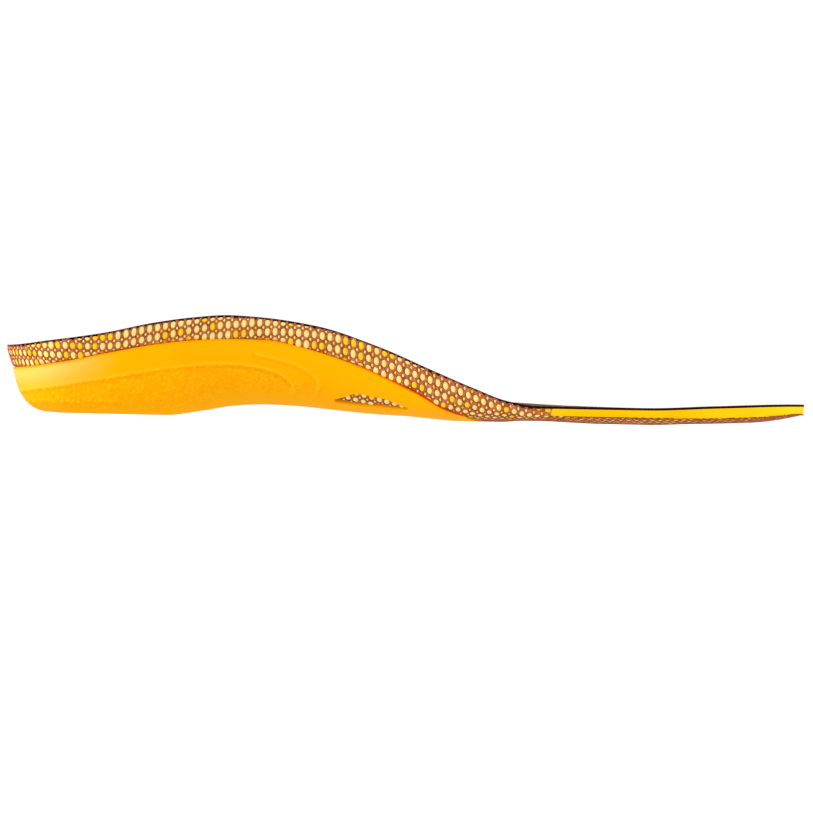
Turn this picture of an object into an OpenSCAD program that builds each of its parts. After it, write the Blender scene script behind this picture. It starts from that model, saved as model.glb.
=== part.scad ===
// Cushioned insole for the left foot: cloth cover, foam body, knitted net skin
// and a moulded stabilizer cap round the heel and arch.
// +X points to the toe, +Y to the little toe side, +Z up. Units are millimetres.

/* [Size] */
// Length from the heel to the toe tip
insole_length = 280; // [250:5:310]
// Widest width, across the ball of the foot
ball_width = 95; // [85:1:105]
// Height of the highest point, the rim of the arch
arch_height = 35.4; // [32:0.2:39]

/* [Layers] */
// Thickness of the cloth cover
cover_thickness = 0.7; // [0.5:0.1:1]
// Thickness of the hot-melt film under the cover
bond_thickness = 0.15; // [0.1:0.05:0.3]
// Thickness of the knitted net
net_thickness = 0.4; // [0.3:0.1:0.6]
// Thickness of the cement under the cap
cement_thickness = 0.15; // [0.1:0.05:0.3]
// Wall of the stabilizer cap
cap_wall = 1.6; // [1.2:0.1:2]
// Wall of the cap at its free edge
cap_edge_wall = 0.6; // [0.5:0.1:1]

/* [Flex] */
// Angle that the toe end bends down, which opens a groove under the flex line
bend_down = 15; // [0:1:20]

/* [Mesh] */
// Steps between two control points of the outline
steps = 3; // [2:1:4]

/* [Hidden] */

along = insole_length / 280;
across = ball_width / 95;
upward = arch_height / 35.4;

cover_colour = "#1c1410";
bond_colour = "#e8e2d0";
foam_colour = "#ffd21e";
net_colour = "#9a6258";
cap_colour = "#ffb400";

// Control points of the plan outline, in pairs: inner side and outer side.
// The first pair is the flex line across the ball, the last one the heel.
rear_inner = [[56, -47.3], [31, -44.5], [6, -39], [-18, -35.3], [-42, -34], [-64, -34], [-86, -34], [-107, -33]];
rear_outer = [[36, 47.5], [16, 47], [-4, 44.7], [-25, 41.8], [-46, 38.6], [-66, 36.2], [-87, 34.2], [-107, 33]];
heel_centre = [-107, 0];
heel_radius = 33;
heel_turn = [36, 72, 108, 144];

// The same for the front, from the flex line to where the toes begin to turn.
front_inner = [[56, -47.3], [79, -46.8], [101, -43.4]];
front_outer = [[36, 47.5], [59, 46.4], [81, 42]];
toe_turn = [[118.5, -37.3], [131.8, -27.5], [139, -14.5], [139.9, 0], [134.6, 13], [122, 25], [103, 34.6]];

// Heights along the length, each as [place, height].
inner_rim = [[-140, 23.6], [-123, 25.6], [-105, 28.4], [-88, 32.2], [-73, 34.5], [-62, 35.4], [-51, 34.9],
             [-31, 32.2], [-10, 25.7], [11, 17], [24, 11.7], [36, 7.4], [46, 5.9], [60, 5.9], [85, 6],
             [110, 7.2], [140, 8.4]];
outer_rim = [[-140, 23.6], [-105, 24.5], [-75, 21], [-45, 16.5], [-15, 12], [15, 8.8], [39, 7.1], [60, 6.3],
             [85, 6], [110, 7.2], [140, 8.4]];
seat = [[-140, 8.2], [-107, 7.6], [-84, 8.2], [-60, 10.6], [-42, 10.8], [-15, 8.8], [10, 6.8], [35, 5.7],
        [60, 5.2], [90, 5.3], [110, 6.1], [128, 7.2], [140, 8.2]];
underside = [[-140, 0], [-84, 0], [-70, 2], [-60, 3.8], [-49, 4.5], [-38, 4.2], [-20, 2.7], [-8, 1.8], [2, 1.4],
             [12, 0.6], [22, 0], [30, 0], [37, 0.5], [48, 0.6], [60, 0.2], [68, 0], [84, 0], [98, 0.6], [112, 1.3],
             [126, 2.4], [140, 4.2]];
inner_cap_edge = [[-140, 15.7], [-123, 17.5], [-105, 21], [-88, 24.4], [-73, 26.3], [-59, 27], [-48, 26.8],
                  [-38, 25], [-17, 18.8], [4, 9.8], [15, 4], [22, 2], [30, 1.4], [60, 1.4]];
outer_cap_edge = [[-140, 15.7], [-105, 16], [-75, 14], [-45, 10.5], [-15, 6.5], [5, 3.6], [20, 2], [30, 1.6],
                  [60, 1.6]];

// The flank is a curve from the rim over a knee to the foot of the underside.
// Each is [place, distance in from the rim] or [place, height].
inner_knee_in = [[-140, 1], [-105, 3.2], [-60, 4], [-20, 4], [10, 2.6], [40, 1.2], [60, 0.6]];
inner_knee_up = [[-140, 0.4], [-105, 1.4], [-60, 9], [-35, 8], [-12, 4.6], [12, 1.6], [40, 0.9], [60, 0.6]];
inner_foot_in = [[-140, 14], [-105, 15], [-60, 26], [-30, 26], [0, 22], [30, 16], [60, 12]];
outer_knee_in = [[-140, 1], [-105, 3], [-60, 2.4], [60, 1]];
outer_knee_up = [[-140, 0.4], [-105, 0.8], [-60, 2.4], [-20, 2.4], [20, 0.8], [60, 0.6]];
outer_foot_in = [[-140, 14], [-105, 15], [-60, 20], [0, 20], [60, 12]];
foot_lift = [[-140, 0.3], [-90, 0.3], [-60, 0.7], [60, 0.5]];
// Outward flare of the wall above the cap, and the power of the foot bed's curve
rim_flare = [[-140, 1.6], [-112, 1.2], [-60, 0.8], [0, 0]];
inner_power = [[-140, 2], [-60, 2], [-10, 2.3], [40, 4]];
outer_power = [[-140, 2], [-105, 2.1], [-60, 2.6], [40, 4]];

// Half width of the band in which the inner side's tables pass into the outer side's
side_blend = 22;

// Height of the die-cut edge's lower line in the front
front_edge = [[30, 2.1], [100, 2.3], [125, 3.4], [140, 4.8]];

// Rows from the rim to the middle: share of the flank curve, then of the underside
edge_rows = 2;
cap_row = 3;
flank_rows = 3;
under_rows = 3;
rows = cap_row + flank_rows + under_rows;
flat_share = 0.7;
front_flat_share = 0.6;

// Powers that space the rows, and that lift the underside towards its edge
bed_spacing = 1.25;
front_spacing = 0.8;
rear_lift_power = 1.5;
front_lift_power = 1.6;

// The last row above the cap's edge stays this far from it, and the edge stays
// this far above the foot of the flank
step_over_edge = 1.2;
step_slack = 2;
edge_over_foot = 0.3;

// Total edge thickness that is left under the cover at the rim
rim_foam = 0.5;
rim_drop = cover_thickness + bond_thickness + rim_foam + net_thickness;
// Height that a millimetre of depth takes up at the slanted rim
rim_slant = 1.1;

// The cap lies over the rows from its edge inwards. Its front is a tongue, whose
// edge is given as [place across, place along], and the net rises again past it.
tongue_edge = [[-60, -10], [-48, 10], [-36, 19], [-24, 25], [-11, 29], [0, 30], [11, 29], [23, 25], [35, 17],
               [48, 6], [60, -14]];
room_ahead = 7;
room_ramp = 6;
cap_first_station = 1;

// The hinge line of the toe end, at the height of the highest point over it
flex_start = [rear_inner[0][0] * along, rear_inner[0][1] * across];
flex_end = [rear_outer[0][0] * along, rear_outer[0][1] * across];
flex_normal = [flex_end[1] - flex_start[1], flex_start[0] - flex_end[0]] / norm(flex_end - flex_start);
flex_height = 7.4 * upward;

function lerp(a, b, t) = a + (b - a) * t;
function ease(t) = let (c = min(1, max(0, t))) c * c * (3 - 2 * c);

// Smooth curve through [place, value] pairs that never overshoots them
function rise(table, i) = (table[i + 1][1] - table[i][1]) / (table[i + 1][0] - table[i][0]);
function slope_at(table, i) =
    i == 0 || i == len(table) - 1 ? 0
    : let (before = rise(table, i - 1), after = rise(table, i))
      before * after <= 0 ? 0 : 2 * before * after / (before + after);
function span_of(table, x, i = 0) = i >= len(table) - 2 || x < table[i + 1][0] ? i : span_of(table, x, i + 1);
function curve(table, x) =
    x <= table[0][0] ? table[0][1]
    : x >= table[len(table) - 1][0] ? table[len(table) - 1][1]
    : let (i = span_of(table, x),
           width = table[i + 1][0] - table[i][0],
           t = (x - table[i][0]) / width,
           s0 = slope_at(table, i) * width,
           s1 = slope_at(table, i + 1) * width,
           v0 = table[i][1],
           v1 = table[i + 1][1])
      v0 + t * s0 + t * t * (3 * (v1 - v0) - 2 * s0 - s1) + t * t * t * (2 * (v0 - v1) + s0 + s1);

// Smooth line through plan points, where t counts the points
function knot(points, i) =
    i < 0 ? 2 * points[0] - points[1]
    : i >= len(points) ? 2 * points[len(points) - 1] - points[len(points) - 2]
    : points[i];
function spline(points, t) =
    let (i = min(len(points) - 2, floor(t)),
         f = t - i,
         a = knot(points, i - 1),
         b = knot(points, i),
         c = knot(points, i + 1),
         d = knot(points, i + 2))
    (2 * b + (c - a) * f + (2 * a - 5 * b + 4 * c - d) * f * f + (3 * b - a - 3 * c + d) * f * f * f) / 2;

function reversed(list) = [for (i = [len(list) - 1 : -1 : 0]) list[i]];

// Each half's outline runs from the inner end of the flex line round to its outer end
heel_points = [for (turn = heel_turn) heel_centre - heel_radius * [sin(turn), cos(turn)]];
rear_outline = concat(rear_inner, heel_points, reversed(rear_outer));
front_outline = concat(front_inner, toe_turn, reversed(front_outer));

// A half is [outline, number of paired points]
rear = [rear_outline, len(rear_inner)];
front = [front_outline, len(front_inner)];

function stations(half) = (len(half[0]) - 1) * steps;
function paired(half) = (half[1] - 1) * steps;
function rim_plan(half, m) = spline(half[0], m / steps);
function mirror_station(half, m) = stations(half) - m;
function middle_plan(half, m) =
    let (end = paired(half), near = min(m, mirror_station(half, m)), k = min(near, end))
    (rim_plan(half, k) + rim_plan(half, mirror_station(half, k))) / 2;

// Blends the inner side's table into the outer side's by the place across
function side_share(p) = ease((p[1] + side_blend) / (2 * side_blend));
function sided(inner_table, outer_table, p) =
    lerp(curve(inner_table, p[0]), curve(outer_table, p[0]), side_share(p));

// One row of a profile is [distance in from the rim, height].
function shifted(row, normal, distance) = row + normal * distance;

// Foot bed: a power curve from the middle up to the rim
function bed_share(row) = pow(1 - row / rows, bed_spacing);
function bed_profile(half, m, row, depth) =
    let (p = rim_plan(half, m),
         q = middle_plan(half, m),
         reach = norm(p - q),
         top = sided(inner_rim, outer_rim, p),
         low = curve(seat, q[0]),
         power = sided(inner_power, outer_power, p),
         share = bed_share(row),
         height = low + (top - low) * pow(share, power),
         steep = (top - low) * power * pow(share, power - 1) / reach,
         normal = [-steep, -1] / norm([steep, 1]))
    row == 0 ? [0, top - depth] : shifted([reach * (1 - share), height], normal, depth);

// Outside of the rear: rim, flared wall, knee, foot and underside
function flank_point(top, knee, foot, t) = [
    2 * t * (1 - t) * knee[0] + t * t * foot[0],
    (1 - t) * (1 - t) * top + 2 * t * (1 - t) * knee[1] + t * t * foot[1]];
function flank_slope(top, knee, foot, t) = [
    2 * (1 - 2 * t) * knee[0] + 2 * t * foot[0],
    -2 * (1 - t) * top + 2 * (1 - 2 * t) * knee[1] + 2 * t * foot[1]];
function edge_share(top, knee, foot, edge) =
    let (bend = top - 2 * knee[1] + foot[1], fall = top - knee[1])
    (fall - sqrt(max(0, fall * fall - bend * (top - edge)))) / bend;

// How far the net lies below the outer surface, to make room for the cap
function cap_depth(row) = row < cap_row ? 0 : row == cap_row ? cap_edge_wall : cap_wall;
function cap_room(plan) = 1 - ease((plan[0] - curve(tongue_edge, plan[1]) - room_ahead) / room_ramp);
function recess(row, plan) =
    row < cap_row ? 0 : (cap_depth(row) + cement_thickness) * cap_room(plan);

// With sunk set, depth is measured from the net's surface below the cap
function rear_profile(m, row, depth, sunk) =
    let (p = rim_plan(rear, m),
         q = middle_plan(rear, m),
         reach = norm(p - q),
         top = sided(inner_rim, outer_rim, p) - rim_drop,
         knee = [sided(inner_knee_in, outer_knee_in, p), sided(inner_knee_up, outer_knee_up, p)],
         floor_height = curve(underside, q[0]),
         foot = [sided(inner_foot_in, outer_foot_in, p), floor_height + curve(foot_lift, p[0])],
         edge = max(foot[1] + edge_over_foot, sided(inner_cap_edge, outer_cap_edge, p)),
         t_edge = edge_share(top, knee, foot, edge),
         t_above = t_edge * (1 - step_over_edge / (top - edge + step_slack)),
         flank_row = row - cap_row,
         t = row < cap_row ? t_above * row / edge_rows : lerp(t_edge, 1, min(1, flank_row / flank_rows)),
         at = flank_point(top, knee, foot, t),
         along_flank = flank_slope(top, knee, foot, t),
         flare = curve(rim_flare, p[0]),
         flared = [at[0] + flare * min(1, (top - at[1]) / (top - edge)), at[1]],
         foot_in = foot[0] + flare,
         under = max(0, flank_row - flank_rows) / under_rows,
         q_share = 1 - under,
         lift = pow(max(0, (q_share - flat_share) / (1 - flat_share)), rear_lift_power),
         on_underside = [lerp(foot_in, reach, under), floor_height + (foot[1] - floor_height) * lift],
         is_under = row > cap_row + flank_rows,
         normal = is_under ? [0, 1] : -[along_flank[1], -along_flank[0]] / norm(along_flank),
         plan = lerp(p, q, (is_under ? on_underside : flared)[0] / reach),
         inward = depth + (sunk ? recess(row, plan) : 0))
    row == 0 ? [0, top + depth * rim_slant] : shifted(is_under ? on_underside : flared, normal, inward);

// Outside of the front: a cut edge, then a rounded underside
function front_profile(m, row, depth) =
    let (p = rim_plan(front, m),
         q = middle_plan(front, m),
         reach = norm(p - q),
         low = curve(underside, lerp(p[0], q[0], 0.5)),
         middle = curve(underside, q[0]),
         share = pow(1 - row / rows, front_spacing),
         lift = pow(max(0, (share - front_flat_share) / (1 - front_flat_share)), front_lift_power),
         base = lerp(middle, low, min(1, share / front_flat_share)))
    [reach * (1 - share), lerp(base, curve(front_edge, p[0]), lift) + depth];

// A surface is found by its name; depth is measured into the foam from the outside
function profile(half, surface, m, row) =
    surface == "cover top" ? bed_profile(half, m, row, 0)
    : surface == "bond top" ? bed_profile(half, m, row, cover_thickness)
    : surface == "foam top" ? bed_profile(half, m, row, cover_thickness + bond_thickness)
    : surface == "net top" ? (half == rear ? rear_profile(m, row, net_thickness, true)
                                           : front_profile(m, row, net_thickness))
    : surface == "net foot" ? (half == rear ? rear_profile(m, row, 0, true) : front_profile(m, row, 0))
    : surface == "cement top" ? rear_profile(m, row, cap_depth(row) + cement_thickness, false)
    : surface == "cap top" ? rear_profile(m, row, cap_depth(row), false)
    : rear_profile(m, row, 0, false);

// The front half's cut face leans away from the rear half, so that it can bend down
function flex_gap(half, m, height) =
    half == front && (m == 0 || m == stations(half))
    ? flex_normal * (flex_height - height) * tan(bend_down + 1) : [0, 0];

function place(half, surface, m, row) =
    let (p = rim_plan(half, m),
         q = middle_plan(half, m),
         spot = profile(half, surface, m, row),
         reach = norm(p - q),
         plan = lerp(p, q, spot[0] / reach),
         height = spot[1] * upward,
         gap = flex_gap(half, m, height))
    [plan[0] * along + gap[0], plan[1] * across + gap[1], height];

// Layer between two surfaces, from station first to its mirror, from row edge inwards
function ring_count(half, first) = stations(half) - 2 * first + 1;
function middle_index(half, first, m) = min(m, min(mirror_station(half, m), paired(half))) - first;
function point_index(half, first, edge, m, row) =
    row == rows ? middle_index(half, first, m)
    : paired(half) - first + 1 + (m - first) * (rows - edge) + (row - edge);
function layer_points(half, surface, first, edge) = concat(
    [for (m = [first : paired(half)]) place(half, surface, m, rows)],
    [for (m = [first : stations(half) - first], row = [edge : rows - 1]) place(half, surface, m, row)]);

function cell(a, b, c, d) = a == d ? [[a, b, c]] : c == d ? [[a, b, c]] : [[a, b, c], [a, c, d]];
function flipped(faces) = [for (face = faces) [face[0], face[2], face[1]]];
function layer_faces(half, first, edge) = [
    for (m = [first : stations(half) - first - 1], row = [edge : rows - 1],
         face = cell(point_index(half, first, edge, m, row),
                     point_index(half, first, edge, m + 1, row),
                     point_index(half, first, edge, m + 1, row + 1),
                     point_index(half, first, edge, m, row + 1)))
        face];

module layer(half, upper, lower, first = 0, edge = 0) {
    upper_points = layer_points(half, upper, first, edge);
    lower_points = layer_points(half, lower, first, edge);
    count = len(upper_points);
    last = stations(half) - first;
    surface_faces = layer_faces(half, first, edge);
    rim_faces = [for (m = [first : last - 1],
                      face = cell(point_index(half, first, edge, m, edge),
                                  point_index(half, first, edge, m, edge) + count,
                                  point_index(half, first, edge, m + 1, edge) + count,
                                  point_index(half, first, edge, m + 1, edge)))
                    face];
    end_faces = [for (row = [edge : rows - 1], m = [first, last],
                      face = let (here = point_index(half, first, edge, m, row),
                                  next = point_index(half, first, edge, m, row + 1),
                                  wall = cell(here, next, next + count, here + count))
                          m == first ? wall : flipped(wall))
                    face];
    lower_faces = [for (face = flipped(surface_faces)) face + [count, count, count]];
    all_faces = concat(surface_faces, lower_faces, rim_faces, end_faces);
    polyhedron(concat(upper_points, lower_points), half == rear ? all_faces : flipped(all_faces));
}

// Plan shapes that are cut through the cap
inner_window = [[-23.2, -18.6], [-16.5, -24.8], [-6, -27], [0.2, -26.4], [-15.5, -20.4]];
outer_window = [[-27, 14], [-19, 24.5], [-1, 21.5], [0, 18], [-12, 13.5]];
window_corner = 1.4;
cutter_height = 60;
cutter_below = 1;
tongue_reach = 60;
tongue_step = 3;
tongue_block = [90, 70];

module plan_cut() {
    translate([0, 0, -cutter_below])
        linear_extrude(cutter_height) children();
}

module tongue_cut() {
    edge = [for (y = [-tongue_reach : tongue_step : tongue_reach]) [curve(tongue_edge, y) * along, y * across]];
    plan_cut() polygon(concat(edge, [tongue_block, [tongue_block[0], -tongue_block[1]]]));
}

module window_cut(window) {
    plan_cut()
        offset(r = window_corner, $fn = 24)
            polygon([for (p = window) [p[0] * along, p[1] * across]]);
}

module cap_cuts() {
    tongue_cut();
    window_cut(inner_window);
    window_cut(outer_window);
}

module top_cover_rear() {
    color(cover_colour) layer(rear, "cover top", "bond top");
}

module top_cover_front() {
    color(cover_colour) layer(front, "cover top", "bond top");
}

module cover_bond_rear() {
    color(bond_colour) layer(rear, "bond top", "foam top");
}

module cover_bond_front() {
    color(bond_colour) layer(front, "bond top", "foam top");
}

module foam_body_rear() {
    color(foam_colour) layer(rear, "foam top", "net top");
}

module foam_body_front() {
    color(foam_colour) layer(front, "foam top", "net top");
}

module net_skin_rear() {
    color(net_colour) layer(rear, "net top", "net foot");
}

module net_skin_front() {
    color(net_colour) layer(front, "net top", "net foot");
}

module cap_bond() {
    color(bond_colour) difference() {
        layer(rear, "cement top", "cap top", cap_first_station, cap_row);
        cap_cuts();
    }
}

module stabilizer_cap() {
    color(cap_colour) difference() {
        layer(rear, "cap top", "cap foot", cap_first_station, cap_row);
        cap_cuts();
    }
}

top_cover_rear();
top_cover_front();
cover_bond_rear();
cover_bond_front();
foam_body_rear();
foam_body_front();
net_skin_rear();
net_skin_front();
cap_bond();
stabilizer_cap();
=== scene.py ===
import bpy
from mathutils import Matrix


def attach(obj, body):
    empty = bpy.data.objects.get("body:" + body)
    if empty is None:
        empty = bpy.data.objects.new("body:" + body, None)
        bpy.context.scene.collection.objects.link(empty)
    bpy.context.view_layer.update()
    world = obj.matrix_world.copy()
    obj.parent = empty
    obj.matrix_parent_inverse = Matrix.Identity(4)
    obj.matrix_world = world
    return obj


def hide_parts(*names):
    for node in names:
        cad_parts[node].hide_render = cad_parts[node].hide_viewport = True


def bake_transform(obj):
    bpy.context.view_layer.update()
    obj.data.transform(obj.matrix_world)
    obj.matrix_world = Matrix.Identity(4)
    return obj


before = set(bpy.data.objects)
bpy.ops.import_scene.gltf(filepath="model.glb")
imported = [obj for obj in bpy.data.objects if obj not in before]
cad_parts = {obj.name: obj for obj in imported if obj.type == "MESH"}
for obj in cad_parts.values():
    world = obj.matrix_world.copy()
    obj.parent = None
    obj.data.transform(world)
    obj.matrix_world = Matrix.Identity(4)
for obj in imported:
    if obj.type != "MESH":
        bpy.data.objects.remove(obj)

"""Cushioned insole for the left foot: how its cloth, foam, net and cap look.

The foot bed's form comes from a few tables of heights along the insole. Every
piece is laid over that form, so the layers stay in contact all over.
+X points to the toe, +Y to the little toe side, +Z up. The tables are in
millimetres and the finished pieces in metres.
"""

import logging
import math
from dataclasses import dataclass
from enum import Enum
from typing import Callable

import bmesh
import bpy
import numpy as np
from mathutils import Vector, noise
from mathutils.bvhtree import BVHTree

log = logging.getLogger("insole")

MM = 0.001
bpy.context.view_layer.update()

Array = np.ndarray
Piece = bpy.types.Object
Pairs = tuple[tuple[float, float], ...]
Colour = tuple[float, float, float]
Socket = bpy.types.NodeSocket


# ---------------------------------------------------------------- the form


class Half(Enum):
    """The two stretches of the outline, which meet at the flex line."""

    REAR = "rear"
    FRONT = "front"


def ease(share: Array) -> Array:
    """Returns a share eased at both ends, 0 below 0 and 1 above 1."""
    held = np.clip(share, 0.0, 1.0)
    return held * held * (3 - 2 * held)


def lerp(first: Array, last: Array, share: Array) -> Array:
    """Returns the value that lies at a share of the way from first to last."""
    return first + (last - first) * share


def walked(line: Array) -> Array:
    """Returns the distance walked to each point of a line."""
    return np.concatenate([[0], np.cumsum(np.linalg.norm(np.diff(line, axis=0), axis=1))])


def levels(*counts: int) -> Array:
    """Returns even levels from 0 up, with a count of points for each whole level."""
    return np.concatenate([np.linspace(i, i + 1, count)[min(i, 1):] for i, count in enumerate(counts)])


@dataclass(frozen=True)
class Table:
    """A smooth curve through (place, value) pairs that never overshoots them."""

    pairs: Pairs

    def at(self, place: Array) -> Array:
        """Reads the curve.

        Args:
            place: Places along the insole, in millimetres.

        Returns:
            The value at each place, held constant past both ends.
        """
        knots = np.array(self.pairs, dtype=float)
        width = np.diff(knots[:, 0])
        rise = np.diff(knots[:, 1]) / width
        slope = np.zeros(len(knots))
        turning = rise[:-1] * rise[1:] <= 0
        total = np.where(turning, 1.0, rise[:-1] + rise[1:])
        slope[1:-1] = np.where(turning, 0.0, 2 * rise[:-1] * rise[1:] / total)
        place = np.asarray(place, dtype=float)
        i = np.clip(np.searchsorted(knots[:, 0], place, side="right") - 1, 0, len(width) - 1)
        t = np.clip((place - knots[i, 0]) / width[i], 0.0, 1.0)
        s0, s1 = slope[i] * width[i], slope[i + 1] * width[i]
        v0, v1 = knots[i, 1], knots[i + 1, 1]
        return (v0 + t * s0 + t**2 * (3 * (v1 - v0) - 2 * s0 - s1)
                + t**3 * (2 * (v0 - v1) + s0 + s1))


@dataclass(frozen=True)
class Outline:
    """Plan outline of one half, from the inner end of the flex line round to its outer end.

    A station counts the control points. The first ones are paired with the
    last ones across the foot, and the turn at the heel or toe has one centre.
    """

    points: Pairs
    paired: int

    @property
    def last(self) -> int:
        """Station of the outer end of the flex line."""
        return len(self.points) - 1

    def rim(self, station: Array) -> Array:
        """Returns the plan points of the rim at the stations, on a smooth line.

        Args:
            station: Stations of the points.
        """
        knots = np.array(self.points, dtype=float)
        knots = np.vstack([2 * knots[0] - knots[1], knots, 2 * knots[-1] - knots[-2]])
        station = np.asarray(station, dtype=float)
        i = np.clip(np.floor(station).astype(int), 0, self.last - 1)
        f = (station - i)[..., None]
        a, b, c, d = knots[i], knots[i + 1], knots[i + 2], knots[i + 3]
        return (2 * b + (c - a) * f + (2 * a - 5 * b + 4 * c - d) * f**2
                + (3 * b - a - 3 * c + d) * f**3) / 2

    def near(self, station: Array) -> Array:
        """Returns each station's count from its own end of the flex line."""
        return np.minimum(station, self.last - np.asarray(station, dtype=float))

    def middle(self, station: Array) -> Array:
        """Returns the plan points of the middle line that the stations look to."""
        held = np.minimum(self.near(station), self.paired)
        return (self.rim(held) + self.rim(self.last - held)) / 2

    def even(self, first: float, last: float, count: int) -> Array:
        """Returns count stations at even distances along the rim, from first to last.

        Args:
            first: The first station.
            last: The last station.
            count: How many.
        """
        fine = np.linspace(first, last, 800)
        way = walked(self.rim(fine))
        return np.interp(np.linspace(0, way[-1], count), way, fine)

    def symmetric(self, spacing: float, first: float = 0.0) -> Array:
        """Returns stations a spacing apart, the outer side's across from the inner side's.

        Args:
            spacing: Distance between two stations, in millimetres.
            first: The first station.
        """
        def walk(a: float, b: float) -> Array:
            """Returns the stations between two of them."""
            length = walked(self.rim(np.linspace(a, b, 400)))[-1]
            return self.even(a, b, max(2, round(length / spacing) + 1))

        side = walk(first, self.paired)
        turn = walk(self.paired, self.last - self.paired)
        return np.concatenate([side, turn[1:-1], (self.last - side)[::-1]])


@dataclass(frozen=True)
class InsoleForm:
    """Sizes and height tables of the insole, and the surfaces they give."""

    cover: float = 0.7
    bond: float = 0.15
    net: float = 0.4
    cement: float = 0.15
    cap_wall: float = 1.6
    cap_edge_wall: float = 0.6
    rim_foam: float = 0.5
    rear_line: float = 0.32
    trim_start: float = 20.0
    trim_run: float = 35.0
    side_blend: float = 22.0
    flat_share: float = 0.7
    front_flat_share: float = 0.6
    rear_lift_power: float = 1.5
    front_lift_power: float = 1.6
    edge_over_foot: float = 0.3
    dip_over_edge: float = 0.7
    tongue_thins: float = 5.5
    tongue_ramp: float = 2.5
    net_side_end: float = 0.18
    net_side_turn: float = 0.5
    heel_centre: tuple[float, float] = (-107.0, 0.0)
    heel_radius: float = 33.0
    rear_inner: Pairs = ((56, -47.3), (31, -44.5), (6, -39), (-18, -35.3), (-42, -34), (-64, -34),
                         (-86, -34), (-107, -33))
    rear_outer: Pairs = ((36, 47.5), (16, 47), (-4, 44.7), (-25, 41.8), (-46, 38.6), (-66, 36.2),
                         (-87, 34.2), (-107, 33))
    front_inner: Pairs = ((56, -47.3), (79, -46.8), (101, -43.4))
    front_outer: Pairs = ((36, 47.5), (59, 46.4), (81, 42))
    toe_turn: Pairs = ((118.5, -37.3), (131.8, -27.5), (139, -14.5), (139.9, 0), (134.6, 13),
                       (122, 25), (103, 34.6))
    inner_rim: Table = Table(((-140, 23.6), (-123, 25.6), (-105, 28.4), (-88, 32.2), (-73, 34.5),
                              (-62, 35.4), (-51, 34.9), (-31, 32.2), (-10, 25.7), (11, 17), (24, 11.7),
                              (36, 7.4), (46, 5.9), (60, 5.9), (85, 6), (110, 7.2), (140, 8.4)))
    outer_rim: Table = Table(((-140, 23.6), (-105, 24.5), (-75, 21), (-45, 16.5), (-15, 12),
                              (15, 8.8), (39, 7.1), (60, 6.3), (85, 6), (110, 7.2), (140, 8.4)))
    seat: Table = Table(((-140, 8.2), (-107, 7.6), (-84, 8.2), (-60, 10.6), (-42, 10.8), (-15, 8.8),
                         (10, 6.8), (35, 5.7), (60, 5.2), (90, 5.3), (110, 6.1), (128, 7.2), (140, 8.2)))
    underside: Table = Table(((-140, 0), (-84, 0), (-70, 2), (-60, 3.8), (-49, 4.5), (-38, 4.2),
                              (-20, 2.7), (-8, 1.8), (2, 1.4), (12, 0.6), (22, 0), (30, 0), (37, 0.5),
                              (48, 0.6), (60, 0.2), (68, 0), (84, 0), (98, 0.6), (112, 1.3),
                              (126, 2.4), (140, 4.2)))
    inner_cap_edge: Table = Table(((-140, 15.7), (-123, 17.5), (-105, 21), (-88, 24.4), (-73, 26.3),
                                   (-59, 27), (-48, 26.8), (-38, 25), (-17, 18.8), (4, 9.8), (15, 4),
                                   (22, 2), (30, 1.4), (60, 1.4)))
    outer_cap_edge: Table = Table(((-140, 15.7), (-105, 16), (-75, 14), (-45, 10.5), (-15, 6.5),
                                   (5, 3.6), (20, 2), (30, 1.6), (60, 1.6)))
    inner_knee_in: Table = Table(((-140, 1), (-105, 3.2), (-60, 4), (-20, 4), (10, 2.6), (40, 1.2),
                                  (60, 0.6)))
    inner_knee_up: Table = Table(((-140, 0.4), (-105, 1.4), (-60, 9), (-35, 8), (-12, 4.6), (12, 1.6),
                                  (40, 0.9), (60, 0.6)))
    inner_foot_in: Table = Table(((-140, 14), (-105, 15), (-60, 26), (-30, 26), (0, 22), (30, 16),
                                  (60, 12)))
    outer_knee_in: Table = Table(((-140, 1), (-105, 3), (-60, 2.4), (60, 1)))
    outer_knee_up: Table = Table(((-140, 0.4), (-105, 0.8), (-60, 2.4), (-20, 2.4), (20, 0.8),
                                  (60, 0.6)))
    outer_foot_in: Table = Table(((-140, 14), (-105, 15), (-60, 20), (0, 20), (60, 12)))
    foot_lift: Table = Table(((-140, 0.3), (-90, 0.3), (-60, 0.7), (60, 0.5)))
    rim_flare: Table = Table(((-140, 1.6), (-112, 1.2), (-60, 0.8), (0, 0)))
    inner_power: Table = Table(((-140, 2), (-60, 2), (-10, 2.3), (40, 4)))
    outer_power: Table = Table(((-140, 2), (-105, 2.1), (-60, 2.6), (40, 4)))
    front_edge: Table = Table(((30, 2.1), (100, 2.3), (125, 3.4), (140, 4.8)))
    tongue_edge: Table = Table(((-60, -10), (-48, 10), (-36, 19), (-24, 25), (-11, 29), (0, 30),
                                (11, 29), (23, 25), (35, 17), (48, 6), (60, -14)))

    @property
    def lining(self) -> float:
        """Depth of the foam's top below the cover's top."""
        return self.cover + self.bond

    @property
    def rim_drop(self) -> float:
        """Depth of the net's upper line below the cover's top, in the solids."""
        return self.lining + self.rim_foam + self.net

    def outline(self, half: Half) -> Outline:
        """Returns the plan outline of a half.

        Args:
            half: The half.
        """
        if half is Half.FRONT:
            points = self.front_inner + self.toe_turn + self.front_outer[::-1]
            return Outline(points, len(self.front_inner) - 1)
        heel = tuple((self.heel_centre[0] - self.heel_radius * math.sin(math.radians(turn)),
                      self.heel_centre[1] - self.heel_radius * math.cos(math.radians(turn)))
                     for turn in (36, 72, 108, 144))
        return Outline(self.rear_inner + heel + self.rear_outer[::-1], len(self.rear_inner) - 1)

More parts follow.
